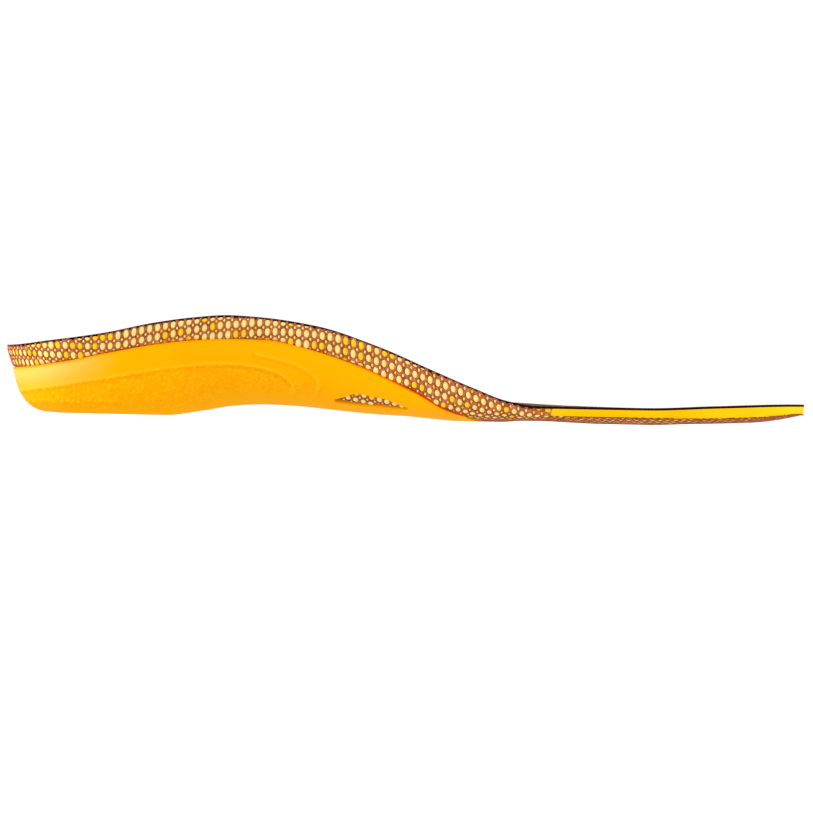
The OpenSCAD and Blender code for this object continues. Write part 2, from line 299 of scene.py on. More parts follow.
    def sided(self, inner: Table, outer: Table, rim: Array) -> Array:
        """Blends the inner side's table into the outer side's by the place across."""
        share = ease((rim[..., 1] + self.side_blend) / (2 * self.side_blend))
        return lerp(inner.at(rim[..., 0]), outer.at(rim[..., 0]), share)

    def trimmed(self, along: Array) -> Array:
        """Returns 0 where the cover's edge is pressed thin, and 1 where it is cut square."""
        return ease((along - self.trim_start) / self.trim_run)

    def side_top(self, rim: Array) -> Array:
        """Returns the height at which the side starts, under the cover's pressed edge."""
        return self.rim_height(rim) - lerp(self.rear_line, self.lining, self.trimmed(rim[..., 0]))

    def rim_height(self, rim: Array) -> Array:
        """Returns the height of the cover's top at the rim."""
        return self.sided(self.inner_rim, self.outer_rim, rim)

    def bed(self, outline: Outline, station: Array, share: Array, depth: Array) -> Array:
        """Finds points of the foot bed.

        Args:
            outline: The half's outline.
            station: Station of each point.
            share: 0 at the middle line and 1 at the rim.
            depth: Depth below the cover's top.

        Returns:
            Points in millimetres.
        """
        rim, middle = outline.rim(station), outline.middle(station)
        reach = np.linalg.norm(rim - middle, axis=-1)
        top, low = self.rim_height(rim), self.seat.at(middle[..., 0])
        power = self.sided(self.inner_power, self.outer_power, rim)
        height = low + (top - low) * share**power
        steep = (top - low) * power * share**(power - 1) / reach
        size = np.sqrt(steep**2 + 1)
        upright = ease((share - 0.94) / 0.06)
        inward = reach * (1 - share) - steep / size * depth * (1 - upright)
        height = height - depth * lerp(1 / size, 1.0, upright)
        plan = lerp(rim, middle, (inward / reach)[..., None])
        return np.concatenate([plan, height[..., None]], axis=-1)

    def rear_side(self, station: Array, level: Array, depth: Array, sunk: bool) -> Array:
        """Finds the outside of the rear as (distance in from the rim, height).

        Args:
            station: Station of each point.
            level: 0 at the rim, 1 at the cap's edge, 2 at the foot, 3 at the middle line.
            depth: Depth in from the outside.
            sunk: True for the layers that lie below the cap.

        Returns:
            Distance and height of each point, in millimetres.
        """
        outline = self.outline(Half.REAR)
        rim, middle = outline.rim(station), outline.middle(station)
        reach = np.linalg.norm(rim - middle, axis=-1)
        top = self.rim_height(rim) - self.rim_drop
        knee_in = self.sided(self.inner_knee_in, self.outer_knee_in, rim)
        knee_up = self.sided(self.inner_knee_up, self.outer_knee_up, rim)
        floor = self.underside.at(middle[..., 0])
        foot_in = self.sided(self.inner_foot_in, self.outer_foot_in, rim)
        foot_up = floor + self.foot_lift.at(rim[..., 0])
        edge = np.maximum(foot_up + self.edge_over_foot,
                          self.sided(self.inner_cap_edge, self.outer_cap_edge, rim))
        fall, bend = top - knee_up, top - 2 * knee_up + foot_up
        t_edge = (fall - np.sqrt(np.maximum(0, fall**2 - bend * (top - edge)))) / bend
        t = np.where(level < 1, t_edge * level, lerp(t_edge, 1.0, np.clip(level - 1, 0, 1)))
        inward = 2 * t * (1 - t) * knee_in + t**2 * foot_in
        height = (1 - t)**2 * top + 2 * t * (1 - t) * knee_up + t**2 * foot_up
        along = np.stack([2 * (1 - 2 * t) * knee_in + 2 * t * foot_in,
                          -2 * (1 - t) * top + 2 * (1 - 2 * t) * knee_up + 2 * t * foot_up], axis=-1)
        along /= np.linalg.norm(along, axis=-1, keepdims=True)
        normal = np.stack([-along[..., 1], along[..., 0]], axis=-1)
        settled = ease((level - 1.6) / 0.4)[..., None]
        normal = lerp(normal, np.array([0.0, 1.0]), settled)
        normal /= np.linalg.norm(normal, axis=-1, keepdims=True)
        flare = self.rim_flare.at(rim[..., 0])
        inward = inward + flare * np.minimum(1, (top - height) / (top - edge))
        under = np.clip(level - 2, 0, 1)
        lift = np.clip((1 - under - self.flat_share) / (1 - self.flat_share), 0, 1)**self.rear_lift_power
        is_under = level > 2
        inward = np.where(is_under, lerp(foot_in + flare, reach, under), inward)
        height = np.where(is_under, floor + (foot_up - floor) * lift, height)
        if sunk:
            plan = lerp(rim, middle, (inward / reach)[..., None])
            ahead = plan[..., 0] - self.tongue_edge.at(plan[..., 1])
            full = 1 - ease((ahead + self.tongue_thins + 0.5) / self.tongue_thins)
            start = 1 - self.dip_over_edge / (top - edge + 2)
            dip = (self.cap_edge_wall + self.cement) * np.clip((level - start) / (1 - start), 0, 1)
            dip = dip + (self.cap_wall - self.cap_edge_wall) * np.clip((level - 1) * 3, 0, 1) * full
            depth = depth + dip * (1 - ease(ahead / self.tongue_ramp))
        return np.stack([inward + normal[..., 0] * depth, height + normal[..., 1] * depth], axis=-1)

    def front_side(self, outline: Outline, station: Array, level: Array, depth: float) -> Array:
        """Finds the die-cut edge and underside of the front as (distance in, height).

        Args:
            outline: The outline of the stations.
            station: Station of each point.
            level: 0 at the rim, 1 at the foot of the cut edge, 2 at the middle line.
            depth: Depth in from the outside.

        Returns:
            Distance and height of each point, in millimetres.
        """
        rim, middle = outline.rim(station), outline.middle(station)
        reach = np.linalg.norm(rim - middle, axis=-1)
        top = self.side_top(rim)
        low = self.underside.at(lerp(rim[..., 0], middle[..., 0], 0.5))
        base_middle = self.underside.at(middle[..., 0])
        foot = self.front_edge.at(rim[..., 0])
        share = np.clip(2 - level, 0, 1)
        rising = np.clip((share - self.front_flat_share) / (1 - self.front_flat_share), 0, 1)
        lift = rising**self.front_lift_power
        base = lerp(base_middle, low, np.minimum(1, share / self.front_flat_share))
        height = lerp(base, foot, lift) + depth
        height = np.where(level < 1, lerp(top, foot + depth, np.clip(level, 0, 1)), height)
        return np.stack([reach * (1 - share), height], axis=-1)


FORM = InsoleForm()


@dataclass
class Skin:
    """A surface of the outside at one depth, from the rim down and in to the middle line.

    Attributes:
        half: The half that the surface belongs to.
        depth: Depth in from the outside, in millimetres.
        sunk: True for the layers that lie below the cap.
        per_station: Count of measured profiles from one station to the next.
        step: Distance between the points of a measured profile.
        profile: Count of a profile's points before it is measured.
    """

    half: Half
    depth: float
    sunk: bool = True
    per_station: int = 40
    step: float = 0.25
    profile: int = 90

    def __post_init__(self) -> None:
        """Measures the surface on close stations."""
        self.outline = FORM.outline(self.half)
        self.station = np.linspace(0, self.outline.last, self.outline.last * self.per_station + 1)
        self.edge = np.zeros(len(self.station))
        level = levels(14, 40)[None, :]
        rows = self._spaced(FORM.front_side(self.outline, self.station[:, None], level, self.depth))
        if self.half is Half.REAR:
            rows = self._with_wall(rows)
        self.length = np.linalg.norm(np.diff(rows, axis=1), axis=-1).sum(axis=1)
        self.points = self._even(rows)

    def _with_wall(self, cut: Array) -> Array:
        """Passes from the front's cut edge into the rear's moulded wall.

        Args:
            cut: Profiles of the cut edge and the underside, at every station.

        Returns:
            The rear's profiles.
        """
        near = self.outline.near(self.station)
        open_side = ease((near - FORM.net_side_end) / 0.04)[:, None]
        cut[..., 0] += self.depth * open_side * (1 - ease(cut[..., 0] / 3))
        rim_steps = 16
        level = levels(rim_steps, 30, 20)[None, :]
        wall = FORM.rear_side(self.station[:, None], level, self.depth, self.sunk)
        start = np.stack([wall[:, 0, 0], FORM.side_top(self.outline.rim(self.station))], axis=-1)
        wall = np.concatenate([start[:, None, :], wall], axis=1)
        self.edge = np.linalg.norm(np.diff(wall[:, :rim_steps + 1], axis=1), axis=-1).sum(axis=1)
        share = ease((near - FORM.net_side_end) / FORM.net_side_turn)[:, None, None]
        return lerp(self._spaced(cut), self._spaced(wall), share)

    def _spaced(self, rows: Array) -> Array:
        """Returns the profiles with the same count of evenly spaced points on each.

        Args:
            rows: Profiles as (distance in, height) points.
        """
        out = np.empty((len(rows), self.profile, 2))
        for i, row in enumerate(rows):
            way = walked(row)
            at = np.linspace(0, way[-1], self.profile)
            out[i, :, 0] = np.interp(at, way, row[:, 0])
            out[i, :, 1] = np.interp(at, way, row[:, 1])
        return out

    def _even(self, rows: Array) -> Array:
        """Returns the profiles as points in space, a fixed step of distance apart.

        Args:
            rows: Profiles as (distance in, height) points.
        """
        at = np.arange(int(self.length.max() / self.step) + 2) * self.step
        rim, middle = self.outline.rim(self.station), self.outline.middle(self.station)
        reach = np.linalg.norm(rim - middle, axis=-1)
        out = np.empty((len(rows), len(at), 3))
        for i, row in enumerate(rows):
            way = walked(row)
            inward = np.interp(at, way, row[:, 0]) + np.maximum(0, at - way[-1])
            out[i, :, :2] = lerp(rim[i], middle[i], (inward / reach[i])[:, None])
            out[i, :, 2] = np.interp(at, way, row[:, 1])
        return out

    def long(self, station: Array) -> Array:
        """Returns the distance from the rim to the middle line at the stations."""
        return np.interp(station, self.station, self.length)

    def cap_edge(self, station: Array) -> Array:
        """Returns the distance from the rim to the cap's edge at the stations."""
        return np.interp(station, self.station, self.edge)

    def at(self, station: Array, distance: Array) -> Array:
        """Finds points of the surface.

        Args:
            station: Station of each point.
            distance: Distance of each point from the rim, over the surface.

        Returns:
            Points in millimetres.
        """
        a = np.clip(np.asarray(station, dtype=float), 0, self.outline.last) * self.per_station
        b = np.clip(np.asarray(distance, dtype=float), 0, self.long(station)) / self.step
        i = np.clip(np.floor(a).astype(int), 0, self.points.shape[0] - 2)
        j = np.clip(np.floor(b).astype(int), 0, self.points.shape[1] - 2)
        f, g = (a - i)[..., None], (b - j)[..., None]
        near = lerp(self.points[i, j], self.points[i, j + 1], g)
        far = lerp(self.points[i + 1, j], self.points[i + 1, j + 1], g)
        found = lerp(near, far, f)
        end = np.concatenate([self.outline.middle(station), found[..., 2:]], axis=-1)
        return np.where((distance >= self.long(station) - 1e-6)[..., None], end, found)

    def normal(self, station: Array, distance: Array) -> Array:
        """Returns the outward normals of the surface.

        Args:
            station: Station of each point.
            distance: Distance of each point from the rim, over the surface.
        """
        du, db = 0.02, 0.3
        along = self.at(station + du, distance) - self.at(station - du, distance)
        down = self.at(station, distance + db) - self.at(station, distance - db)
        out = np.cross(along, down)
        size = np.linalg.norm(out, axis=-1, keepdims=True)
        return np.where(size > 1e-9, out / np.maximum(size, 1e-9), np.array([0.0, 0.0, -1.0]))


# ---------------------------------------------------------- mesh workshop


def look_away() -> None:
    """Leaves edit mode and deselects everything."""
    if bpy.context.object and bpy.context.object.mode != "OBJECT":
        bpy.ops.object.mode_set(mode="OBJECT")
    bpy.ops.object.select_all(action="DESELECT")


def hold(obj: Piece) -> None:
    """Selects one object alone and makes it active.

    Args:
        obj: The object.
    """
    look_away()
    obj.select_set(True)
    bpy.context.view_layer.objects.active = obj


def edit(obj: Piece, *steps: Callable[[], object]) -> None:
    """Runs edit operators, one after the other, on all of a mesh.

    Args:
        obj: The mesh.
        steps: The operators, each called with nothing.
    """
    hold(obj)
    bpy.ops.object.mode_set(mode="EDIT")
    bpy.ops.mesh.select_all(action="SELECT")
    for step in steps:
        step()
    bpy.ops.object.mode_set(mode="OBJECT")


def weld(obj: Piece, gap: float = 0.004) -> None:
    """Merges the points of a mesh that lie within a gap, in millimetres."""
    edit(obj, lambda: bpy.ops.mesh.remove_doubles(threshold=gap * MM))


def face_outwards(obj: Piece) -> None:
    """Turns all faces of a closed mesh outwards."""
    edit(obj, lambda: bpy.ops.mesh.normals_make_consistent(inside=False))


def face_one_way(obj: Piece, up: bool) -> None:
    """Turns all faces of an open sheet up, or all of them down.

    Args:
        obj: The sheet.
        up: True for up, and False for down.
    """
    face_outwards(obj)
    total = sum(face.normal.z * face.area for face in obj.data.polygons)
    if (total > 0) is not up:
        edit(obj, bpy.ops.mesh.flip_normals)


def smooth(obj: Piece, angle: float = 50.0) -> None:
    """Shades a mesh smooth up to an angle in degrees."""
    hold(obj)
    bpy.ops.object.shade_smooth_by_angle(angle=math.radians(angle))


def apply_all(obj: Piece) -> None:
    """Applies every modifier of an object, in order.

    Args:
        obj: The object.
    """
    hold(obj)
    for modifier in list(obj.modifiers):
        bpy.ops.object.modifier_apply(modifier=modifier.name)


def soften(obj: Piece, width: float, angle: float) -> None:
    """Bevels the edges that are sharper than an angle, by a width in millimetres.

    Args:
        obj: The piece.
        width: Width of the bevel.
        angle: The angle in degrees.
    """
    bevel = obj.modifiers.new("soft edge", "BEVEL")
    bevel.width = width * MM
    bevel.segments = 2
    bevel.limit_method = "ANGLE"
    bevel.angle_limit = math.radians(angle)
    apply_all(obj)


def places(obj: Piece) -> Array:
    """Returns the points of a mesh, in metres.

    Args:
        obj: The mesh.
    """
    flat = np.empty(len(obj.data.vertices) * 3)
    obj.data.vertices.foreach_get("co", flat)
    return flat.reshape(-1, 3)


def put(obj: Piece, points: Array) -> None:
    """Moves the points of a mesh to places in metres."""
    obj.data.vertices.foreach_set("co", points.ravel())
    obj.data.update()


def tint(obj: Piece, name: str, values: Array) -> None:
    """Stores one number for each point of a mesh, as a named attribute."""
    layer = obj.data.attributes.new(name, "FLOAT", "POINT")
    layer.data.foreach_set("value", np.asarray(values, dtype=np.float32))


def tints(obj: Piece, name: str) -> Array:
    """Reads a named attribute of a mesh's points.

    Args:
        obj: The mesh.
        name: The attribute's name.

    Returns:
        Its values.
    """
    values = np.empty(len(obj.data.vertices), dtype=np.float32)
    obj.data.attributes[name].data.foreach_get("value", values)
    return values.astype(float)


Laid = tuple[Array, dict[str, Array]]


def laid_grid(name: str, columns: int, rows: int, lay: Callable[[Array, Array], Laid]) -> Piece:
    """Lays a flat grid over the insole's form.

    Args:
        name: Name of the new piece.
        columns: Cells round the outline.
        rows: Cells from the first line to the last.
        lay: Gives points in millimetres for column and row numbers, and what to tint them with.

    Returns:
        The laid piece, not yet welded.
    """
    look_away()
    bpy.ops.mesh.primitive_grid_add(x_subdivisions=columns, y_subdivisions=rows, size=1, location=(0, 0, 0))
    obj = bpy.context.object
    obj.name = obj.data.name = name
    flat = places(obj)
    points, marks = lay(np.rint((flat[:, 0] + 0.5) * columns), np.rint((flat[:, 1] + 0.5) * rows))
    put(obj, points * MM)
    for layer in list(obj.data.uv_layers):
        obj.data.uv_layers.remove(layer)
    for mark, values in marks.items():
        tint(obj, mark, values)
    return obj


def raw_mesh(name: str, points: Array, faces: list) -> Piece:
    """Makes an object of points in millimetres and faces.

    Args:
        name: Name of the new piece.
        points: Its points.
        faces: Point numbers of each face.

    Returns:
        The new piece.
    """
    mesh = bpy.data.meshes.new(name)
    mesh.from_pydata((points * MM).tolist(), [], faces)
    mesh.update()
    obj = bpy.data.objects.new(name, mesh)
    bpy.context.scene.collection.objects.link(obj)
    return obj


def join(name: str, parts: list[Piece]) -> Piece:
    """Joins parts into one piece and names it.

    Args:
        name: Name of the new piece.
        parts: Its parts, used up by it.

    Returns:
        The joined piece.
    """
    hold(parts[0])
    for part in parts[1:]:
        part.select_set(True)
    bpy.ops.object.join()
    obj = bpy.context.object
    obj.name = obj.data.name = name
    return obj


def joined_halves(name: str, lay_half: Callable[[Half], Piece], gap: float) -> Piece:
    """Lays both halves, joins them and welds them at the flex line.

    Args:
        name: Name of the new piece.
        lay_half: Lays one half.
        gap: Distance within which points of the two halves merge, in millimetres.

    Returns:
        The joined piece.
    """
    halves = [lay_half(half) for half in Half]
    for half in halves:
        weld(half)
    obj = join(name, halves)
    weld(obj, gap)
    return obj


def triangles(obj: Piece) -> int:
    """Counts the triangles of a mesh."""
    return sum(len(face.vertices) - 2 for face in obj.data.polygons)


# --------------------------------------------------------------- finishes


class Wiring:
    """A shader tree under construction, with short words for its nodes."""

    def __init__(self, tree: bpy.types.NodeTree) -> None:
        """Takes the tree that the nodes go into."""
        self.tree = tree

    def node(self, kind: str, **settings: object) -> bpy.types.Node:
        """Adds a node and sets its settings.

        Args:
            kind: The node's type.
            settings: Its settings by name.

        Returns:
            The node.
        """
        made = self.tree.nodes.new(kind)
        for key, value in settings.items():
            setattr(made, key, value)
        return made

    def feed(self, target: Socket, value: object) -> None:
        """Links a socket to an input, or sets the input to a colour or a number.

        Args:
            target: The input.
            value: A socket, a colour or a number.
        """
        if isinstance(value, Socket):
            self.tree.links.new(value, target)
        else:
            target.default_value = (*value, 1) if isinstance(value, tuple) else value

    def math(self, operation: str, *values: object, clamp: bool = False) -> Socket:
        """Reckons with numbers or sockets.

        Args:
            operation: Name of the operation.
            values: Its numbers or sockets.
            clamp: True to hold the result between 0 and 1.

        Returns:
            The result's socket.
        """
        made = self.node("ShaderNodeMath", operation=operation, use_clamp=clamp)
        for socket, value in zip(made.inputs, values):
            self.feed(socket, value)
        return made.outputs[0]


class Group(Wiring):
    """A shader group under construction, which makes one number from a place."""

    def __init__(self, name: str, output: str, **inputs: float) -> None:
        """Starts a group.

        Args:
            name: Name of the group.
            output: Name of what it puts out.
            inputs: Its numbers and their usual values, with _ for a space in their names.
        """
        super().__init__(bpy.data.node_groups.new(name, "ShaderNodeTree"))
        sockets = self.tree.interface
        sockets.new_socket("Place", in_out="INPUT", socket_type="NodeSocketVector")
        for key, value in inputs.items():
            label = key.replace("_", " ")
            sockets.new_socket(label, in_out="INPUT", socket_type="NodeSocketFloat").default_value = value
        sockets.new_socket(output, in_out="OUTPUT", socket_type="NodeSocketFloat")
        self.start = self.node("NodeGroupInput").outputs
        self.end = self.node("NodeGroupOutput").inputs[0]

    def texture(self, kind: str, **settings: object) -> bpy.types.Node:
        """Adds a texture that follows the group's place and scale.

        Args:
            kind: The node's type.
            settings: Its settings by name.

        Returns:
            The texture node.
        """
        made = self.node(kind, **settings)
        self.feed(made.inputs["Vector"], self.start["Place"])
        self.feed(made.inputs["Scale"], self.start["Scale"])
        return made


class Shader(Wiring):
    """A material under construction, on one Principled shader."""

    def __init__(self, name: str) -> None:
        """Starts an empty material.

        Args:
            name: Name of the material.
        """
        self.material = bpy.data.materials.new(name)
        self.material.use_nodes = True
        super().__init__(self.material.node_tree)
        self.tree.nodes.clear()
        self.surface = self.node("ShaderNodeBsdfPrincipled")
        self.feed(self.node("ShaderNodeOutputMaterial").inputs[0], self.surface.outputs[0])
        self.place = self.node("ShaderNodeTexCoord").outputs["Object"]

    def pattern(self, group: bpy.types.NodeTree, **values: float) -> Socket:
        """Places a shader group on the piece's own coordinates.

        Args:
            group: The group.
            values: Values of its inputs, with _ for a space in their names.

        Returns:
            The group's first output.
        """
        made = self.node("ShaderNodeGroup", node_tree=group)
        for key, value in values.items():
            self.feed(made.inputs[key.replace("_", " ")], value)
        self.feed(made.inputs["Place"], self.place)
        return made.outputs[0]

    def attribute(self, name: str) -> Socket:
        """Returns a mesh attribute's value."""
        return self.node("ShaderNodeAttribute", attribute_name=name).outputs["Fac"]

    def ramp(self, mask: Socket, *stops: tuple[float, Colour]) -> Socket:
        """Colours a mask.

        Args:
            mask: The mask.
            stops: (place, colour) pairs, from low to high.

        Returns:
            The colour socket.
        """
        made = self.node("ShaderNodeValToRGB")
        elements = made.color_ramp.elements
        for element, (place, colour) in zip(elements, (stops[0], stops[-1])):
            element.position = place
            element.color = (*colour, 1)
        for place, colour in stops[1:-1]:
            elements.new(place).color = (*colour, 1)
        self.feed(made.inputs[0], mask)
        return made.outputs[0]

    def mix(self, share: object, first: object, second: object) -> Socket:
        """Mixes two colours.

        Args:
            share: Share of the second colour, a number or a socket.
            first: First colour, a tuple or a socket.
            second: Second colour, a tuple or a socket.

        Returns:
            The mixed colour's socket.
        """
        made = self.node("ShaderNodeMix", data_type="RGBA")
        for number, value in ((0, share), (6, first), (7, second)):
            self.feed(made.inputs[number], value)
        return made.outputs[2]

    def bump(self, height: Socket, depth: float, strength: float) -> None:
        """Raises the surface by a height map that goes as deep as depth, in millimetres.

        Args:
            height: The height map.
            depth: Its depth.
            strength: Share of the depth that shows.
        """
        made = self.node("ShaderNodeBump")
        for key, value in (("Strength", strength), ("Distance", depth * MM), ("Height", height)):
            self.feed(made.inputs[key], value)
        self.feed(self.surface.inputs["Normal"], made.outputs[0])

    def finish(self, colour: Socket, **values: object) -> bpy.types.Material:
        """Sets the surface's colour and its other inputs.

        Args:
            colour: The colour's socket.
            values: Values of the inputs, with _ for a space in their names.

        Returns:
            The finished material.
        """
        self.feed(self.surface.inputs["Base Color"], colour)
        for key, value in values.items():
            self.feed(self.surface.inputs[key.replace("_", " ")], value)
        return self.material


def mottle_group() -> bpy.types.NodeTree:
    """Builds the soft, cloudy unevenness that every finish has, as a mask from 0 to 1.

    Returns:
        The group.
    """
    group = Group("mottle", "Mask", Scale=80.0, Contrast=1.6)
    cloud = group.texture("ShaderNodeTexNoise")
    cloud.inputs["Detail"].default_value = 4
    spread = group.math("SUBTRACT", cloud.outputs["Fac"], 0.5)
    gain = group.math("MULTIPLY", spread, group.start["Contrast"])
    group.feed(group.end, group.math("ADD", gain, 0.5, clamp=True))
    return group.tree


def grain_group() -> bpy.types.NodeTree:
    """Builds a fine pebbled or pored grain from two sizes of cells, as a height.

    Returns:
        The group.
    """
    group = Group("grain", "Height", Scale=900.0)
    cells = group.texture("ShaderNodeTexVoronoi", feature="SMOOTH_F1")
    cells.inputs["Smoothness"].default_value = 0.4
    cloud = group.texture("ShaderNodeTexNoise")
    cloud.inputs["Detail"].default_value = 3
    joined = group.math("MULTIPLY_ADD", cells.outputs["Distance"], 0.6, cloud.outputs["Fac"])
    group.feed(group.end, joined)
    return group.tree


def knit_group() -> bpy.types.NodeTree:
    """Builds the rows of small loops of a knitted cloth, as a height from 0 to 1.

    Returns:
        The group.
    """
    group = Group("knit", "Height", Loops_per_metre=1100.0)
    apart = group.node("ShaderNodeSeparateXYZ")
    group.feed(apart.inputs[0], group.start["Place"])
    waves = []
    for axis, rate in ((0, 1.0), (1, 1.35)):
        turn = group.math("MULTIPLY", apart.outputs[axis], math.tau * rate)
        waves.append(group.math("SINE", group.math("MULTIPLY", turn, group.start["Loops per metre"])))
    product = group.math("MULTIPLY", *waves)
    group.feed(group.end, group.math("MULTIPLY_ADD", product, 0.5, 0.5))
    return group.tree


@dataclass(frozen=True)
class SharedEffects:
    """The shader groups that several finishes place."""

    mottle: bpy.types.NodeTree
    grain: bpy.types.NodeTree
    knit: bpy.types.NodeTree


@dataclass(frozen=True)
class CoverCloth:
    """Black knitted cloth, matt, with a faint brown cast at its cut edge."""

    dark: Colour = (0.010, 0.004, 0.003)
    light: Colour = (0.034, 0.017, 0.013)
    loops_per_metre: float = 1150.0
    relief: float = 0.10
    fuzz: float = 0.5
    fuzz_tint: Colour = (0.75, 0.45, 0.32)
    name: str = "cover_cloth"

    def make(self, shared: SharedEffects) -> bpy.types.Material:
        """Returns the cloth's material.

        Args:
            shared: The shader groups that it places.
        """
        shader = Shader(self.name)
        knit = shader.pattern(shared.knit, Loops_per_metre=self.loops_per_metre)
        mottle = shader.pattern(shared.mottle, Scale=220.0, Contrast=1.4)
        tone = shader.math("MULTIPLY", knit, mottle)
        shader.bump(knit, self.relief, 0.8)
        return shader.finish(shader.ramp(tone, (0.0, self.dark), (0.7, self.light)), Roughness=0.9,
                             Specular_IOR_Level=0.05, Sheen_Weight=self.fuzz, Sheen_Roughness=0.14,
                             Sheen_Tint=self.fuzz_tint)


@dataclass(frozen=True)
class BondFilmFinish:
    """Milky hot-melt film, satin."""

    clear: Colour = (0.80, 0.74, 0.56)
    cloudy: Colour = (0.62, 0.55, 0.38)

    def make(self, shared: SharedEffects) -> bpy.types.Material:
        """Returns the film's material.

        Args:
            shared: The shader groups that it places.
        """
        shader = Shader("bond_film")
        mottle = shader.pattern(shared.mottle, Scale=300.0, Contrast=2.0)
        shader.bump(shader.pattern(shared.grain, Scale=1500.0), 0.03, 0.5)
        return shader.finish(shader.ramp(mottle, (0.2, self.cloudy), (0.8, self.clear)), Roughness=0.45)


@dataclass(frozen=True)
class FoamFinish:
    """Yellow open-cell foam. Its domes in the net's holes are cream or golden."""

    body: Colour = (0.96, 0.47, 0.001)
    shade: Colour = (0.93, 0.42, 0.0005)
    cream: Colour = (0.96, 0.64, 0.19)
    gold: Colour = (0.96, 0.50, 0.01)

    def make(self, shared: SharedEffects) -> bpy.types.Material:
        """Returns the foam's material.

        Args:
            shared: The shader groups that it places.
        """
        shader = Shader("foam")
        mottle = shader.pattern(shared.mottle, Scale=70.0, Contrast=1.5)
        shader.bump(shader.pattern(shared.grain, Scale=1700.0), 0.05, 0.5)
        body = shader.ramp(mottle, (0.25, self.shade), (0.75, self.body))
        tone = shader.attribute("dome_tone")
        dome = shader.ramp(tone, (0.0, self.gold), (0.45, self.gold), (0.6, self.cream))
        is_dome = shader.math("GREATER_THAN", tone, 0.01)
        return shader.finish(shader.mix(is_dome, body, dome), Roughness=0.75, Specular_IOR_Level=0.05)


@dataclass(frozen=True)
class NetFinish:
    """Mauve-brown warp-knitted net, lit through by the foam between its threads, with painted shade at the
    edges of its holes and painted highlights on its cord tops.
    """

    # deep is painted shade at the hole edges and crest a painted highlight on the cord tops; thread is the
    # net's own colour.
    deep: Colour = (0.085, 0.009, 0.002)
    thread: Colour = (0.30, 0.068, 0.026)
    crest: Colour = (0.55, 0.19, 0.10)

    def make(self, shared: SharedEffects) -> bpy.types.Material:
        """Returns the net's material.

        Args:
            shared: The shader groups that it places.
        """
        shader = Shader("net")
        mottle = shader.pattern(shared.mottle, Scale=520.0, Contrast=2.6)
        shader.bump(shader.pattern(shared.grain, Scale=2600.0), 0.08, 0.7)
        # Painted light: low cords take the painted shade and high cords the painted highlight, broken up by
        # the mottle.
        height = shader.math("MULTIPLY", shader.attribute("cord_height"), 0.6)
        tone = shader.math("MULTIPLY_ADD", mottle, 0.4, height)
        colour = shader.ramp(tone, (0.16, self.deep), (0.5, self.thread), (0.95, self.crest))
        return shader.finish(colour, Roughness=0.8, Specular_IOR_Level=0.05)


@dataclass(frozen=True)
class CapFinish:
    """Golden yellow moulded elastomer, satin, with a pebbled panel, painted highlights on its relief and on
    the upper band round the heel, and painted shade under its ridges and along its free edge.
    """

    body: Colour = (0.93, 0.388, 0.0)
    shade: Colour = (0.925, 0.374, 0.0)
    # crest is a painted highlight on the ridges and pebble tops; the colour after it is painted shade under
    # the ridges and between the pebbles.
    crest: Colour = (0.95, 0.51, 0.012)
    painted_relief_shade: Colour = (0.82, 0.28, 0.0)
    # Painted highlight of the upper band round the heel.
    painted_highlight: Colour = (0.95, 0.47, 0.085)
    # Red-orange painted shade in the crease along the cap's free edge.
    rim: Colour = (0.78, 0.08, 0.0)

    def make(self, shared: SharedEffects) -> bpy.types.Material:
        """Returns the cap's material.

        Args:
            shared: The shader groups that it places.
        """
        shader = Shader("cap_plastic")
        mottle = shader.pattern(shared.mottle, Scale=45.0, Contrast=1.2)
        body = shader.ramp(mottle, (0.2, self.shade), (0.8, self.body))
        # Painted light of the relief: highlight where the tone is high, shade where it is low.
        tone = shader.attribute("relief_painted_light")
        low = shader.math("MULTIPLY", shader.math("SUBTRACT", 0.5, tone), 2.0, clamp=True)
        high = shader.math("MULTIPLY", shader.math("SUBTRACT", tone, 0.5), 2.0, clamp=True)
        moulded = shader.mix(high, shader.mix(low, body, self.painted_relief_shade), self.crest)
        # Painted highlight over the upper band round the heel.
        band = shader.mix(shader.attribute("painted_heel_highlight"), moulded, self.painted_highlight)
        rough = shader.math("MAXIMUM", shader.attribute("pebble_panel"), 0.18)
        shader.bump(shader.math("MULTIPLY", shader.pattern(shared.grain, Scale=620.0), rough), 0.16, 0.9)
        # Painted shade in the crease along the cap's free edge.
        return shader.finish(shader.mix(shader.attribute("painted_edge_shade"), band, self.rim), Roughness=0.6,
                             Specular_IOR_Level=0.012)


@dataclass(frozen=True)
class StudioFinish:
    """Plain white paper of the studio."""

    white: Colour = (0.985, 0.985, 0.985)
    bright: Colour = (0.99, 0.99, 0.99)

    def make(self, shared: SharedEffects) -> bpy.types.Material:
        """Returns the paper's material.

        Args:
            shared: The shader groups that it places.
        """
        shader = Shader("studio_paper")
        mottle = shader.pattern(shared.mottle, Scale=3.0, Contrast=0.2)
        return shader.finish(shader.ramp(mottle, (0.0, self.white), (1.0, self.bright)), Roughness=0.9)


# ----------------------------------------------------------------- pieces


@dataclass(frozen=True)
class FlexZone:
    """The stretch across the ball of the foot in which the soft layers bend; its sizes are not read, and no
    piece is bent.
    """

    behind: float = 12.5
    ahead: float = 16.0
    height: float = 7.4

    def bend(self, obj: Piece) -> None:
        """Bakes a piece's placement into its points, without bending it.

        Args:
            obj: The piece.
        """
        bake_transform(obj)


FLEX = FlexZone()


def dress(obj: Piece, material: bpy.types.Material) -> None:
    """Gives a piece its material, and reports its triangle count.

    Args:
        obj: The piece.
        material: Its material.
    """
    obj.data.materials.clear()
    obj.data.materials.append(material)
    log.info("%s: %d triangles", obj.name, triangles(obj))


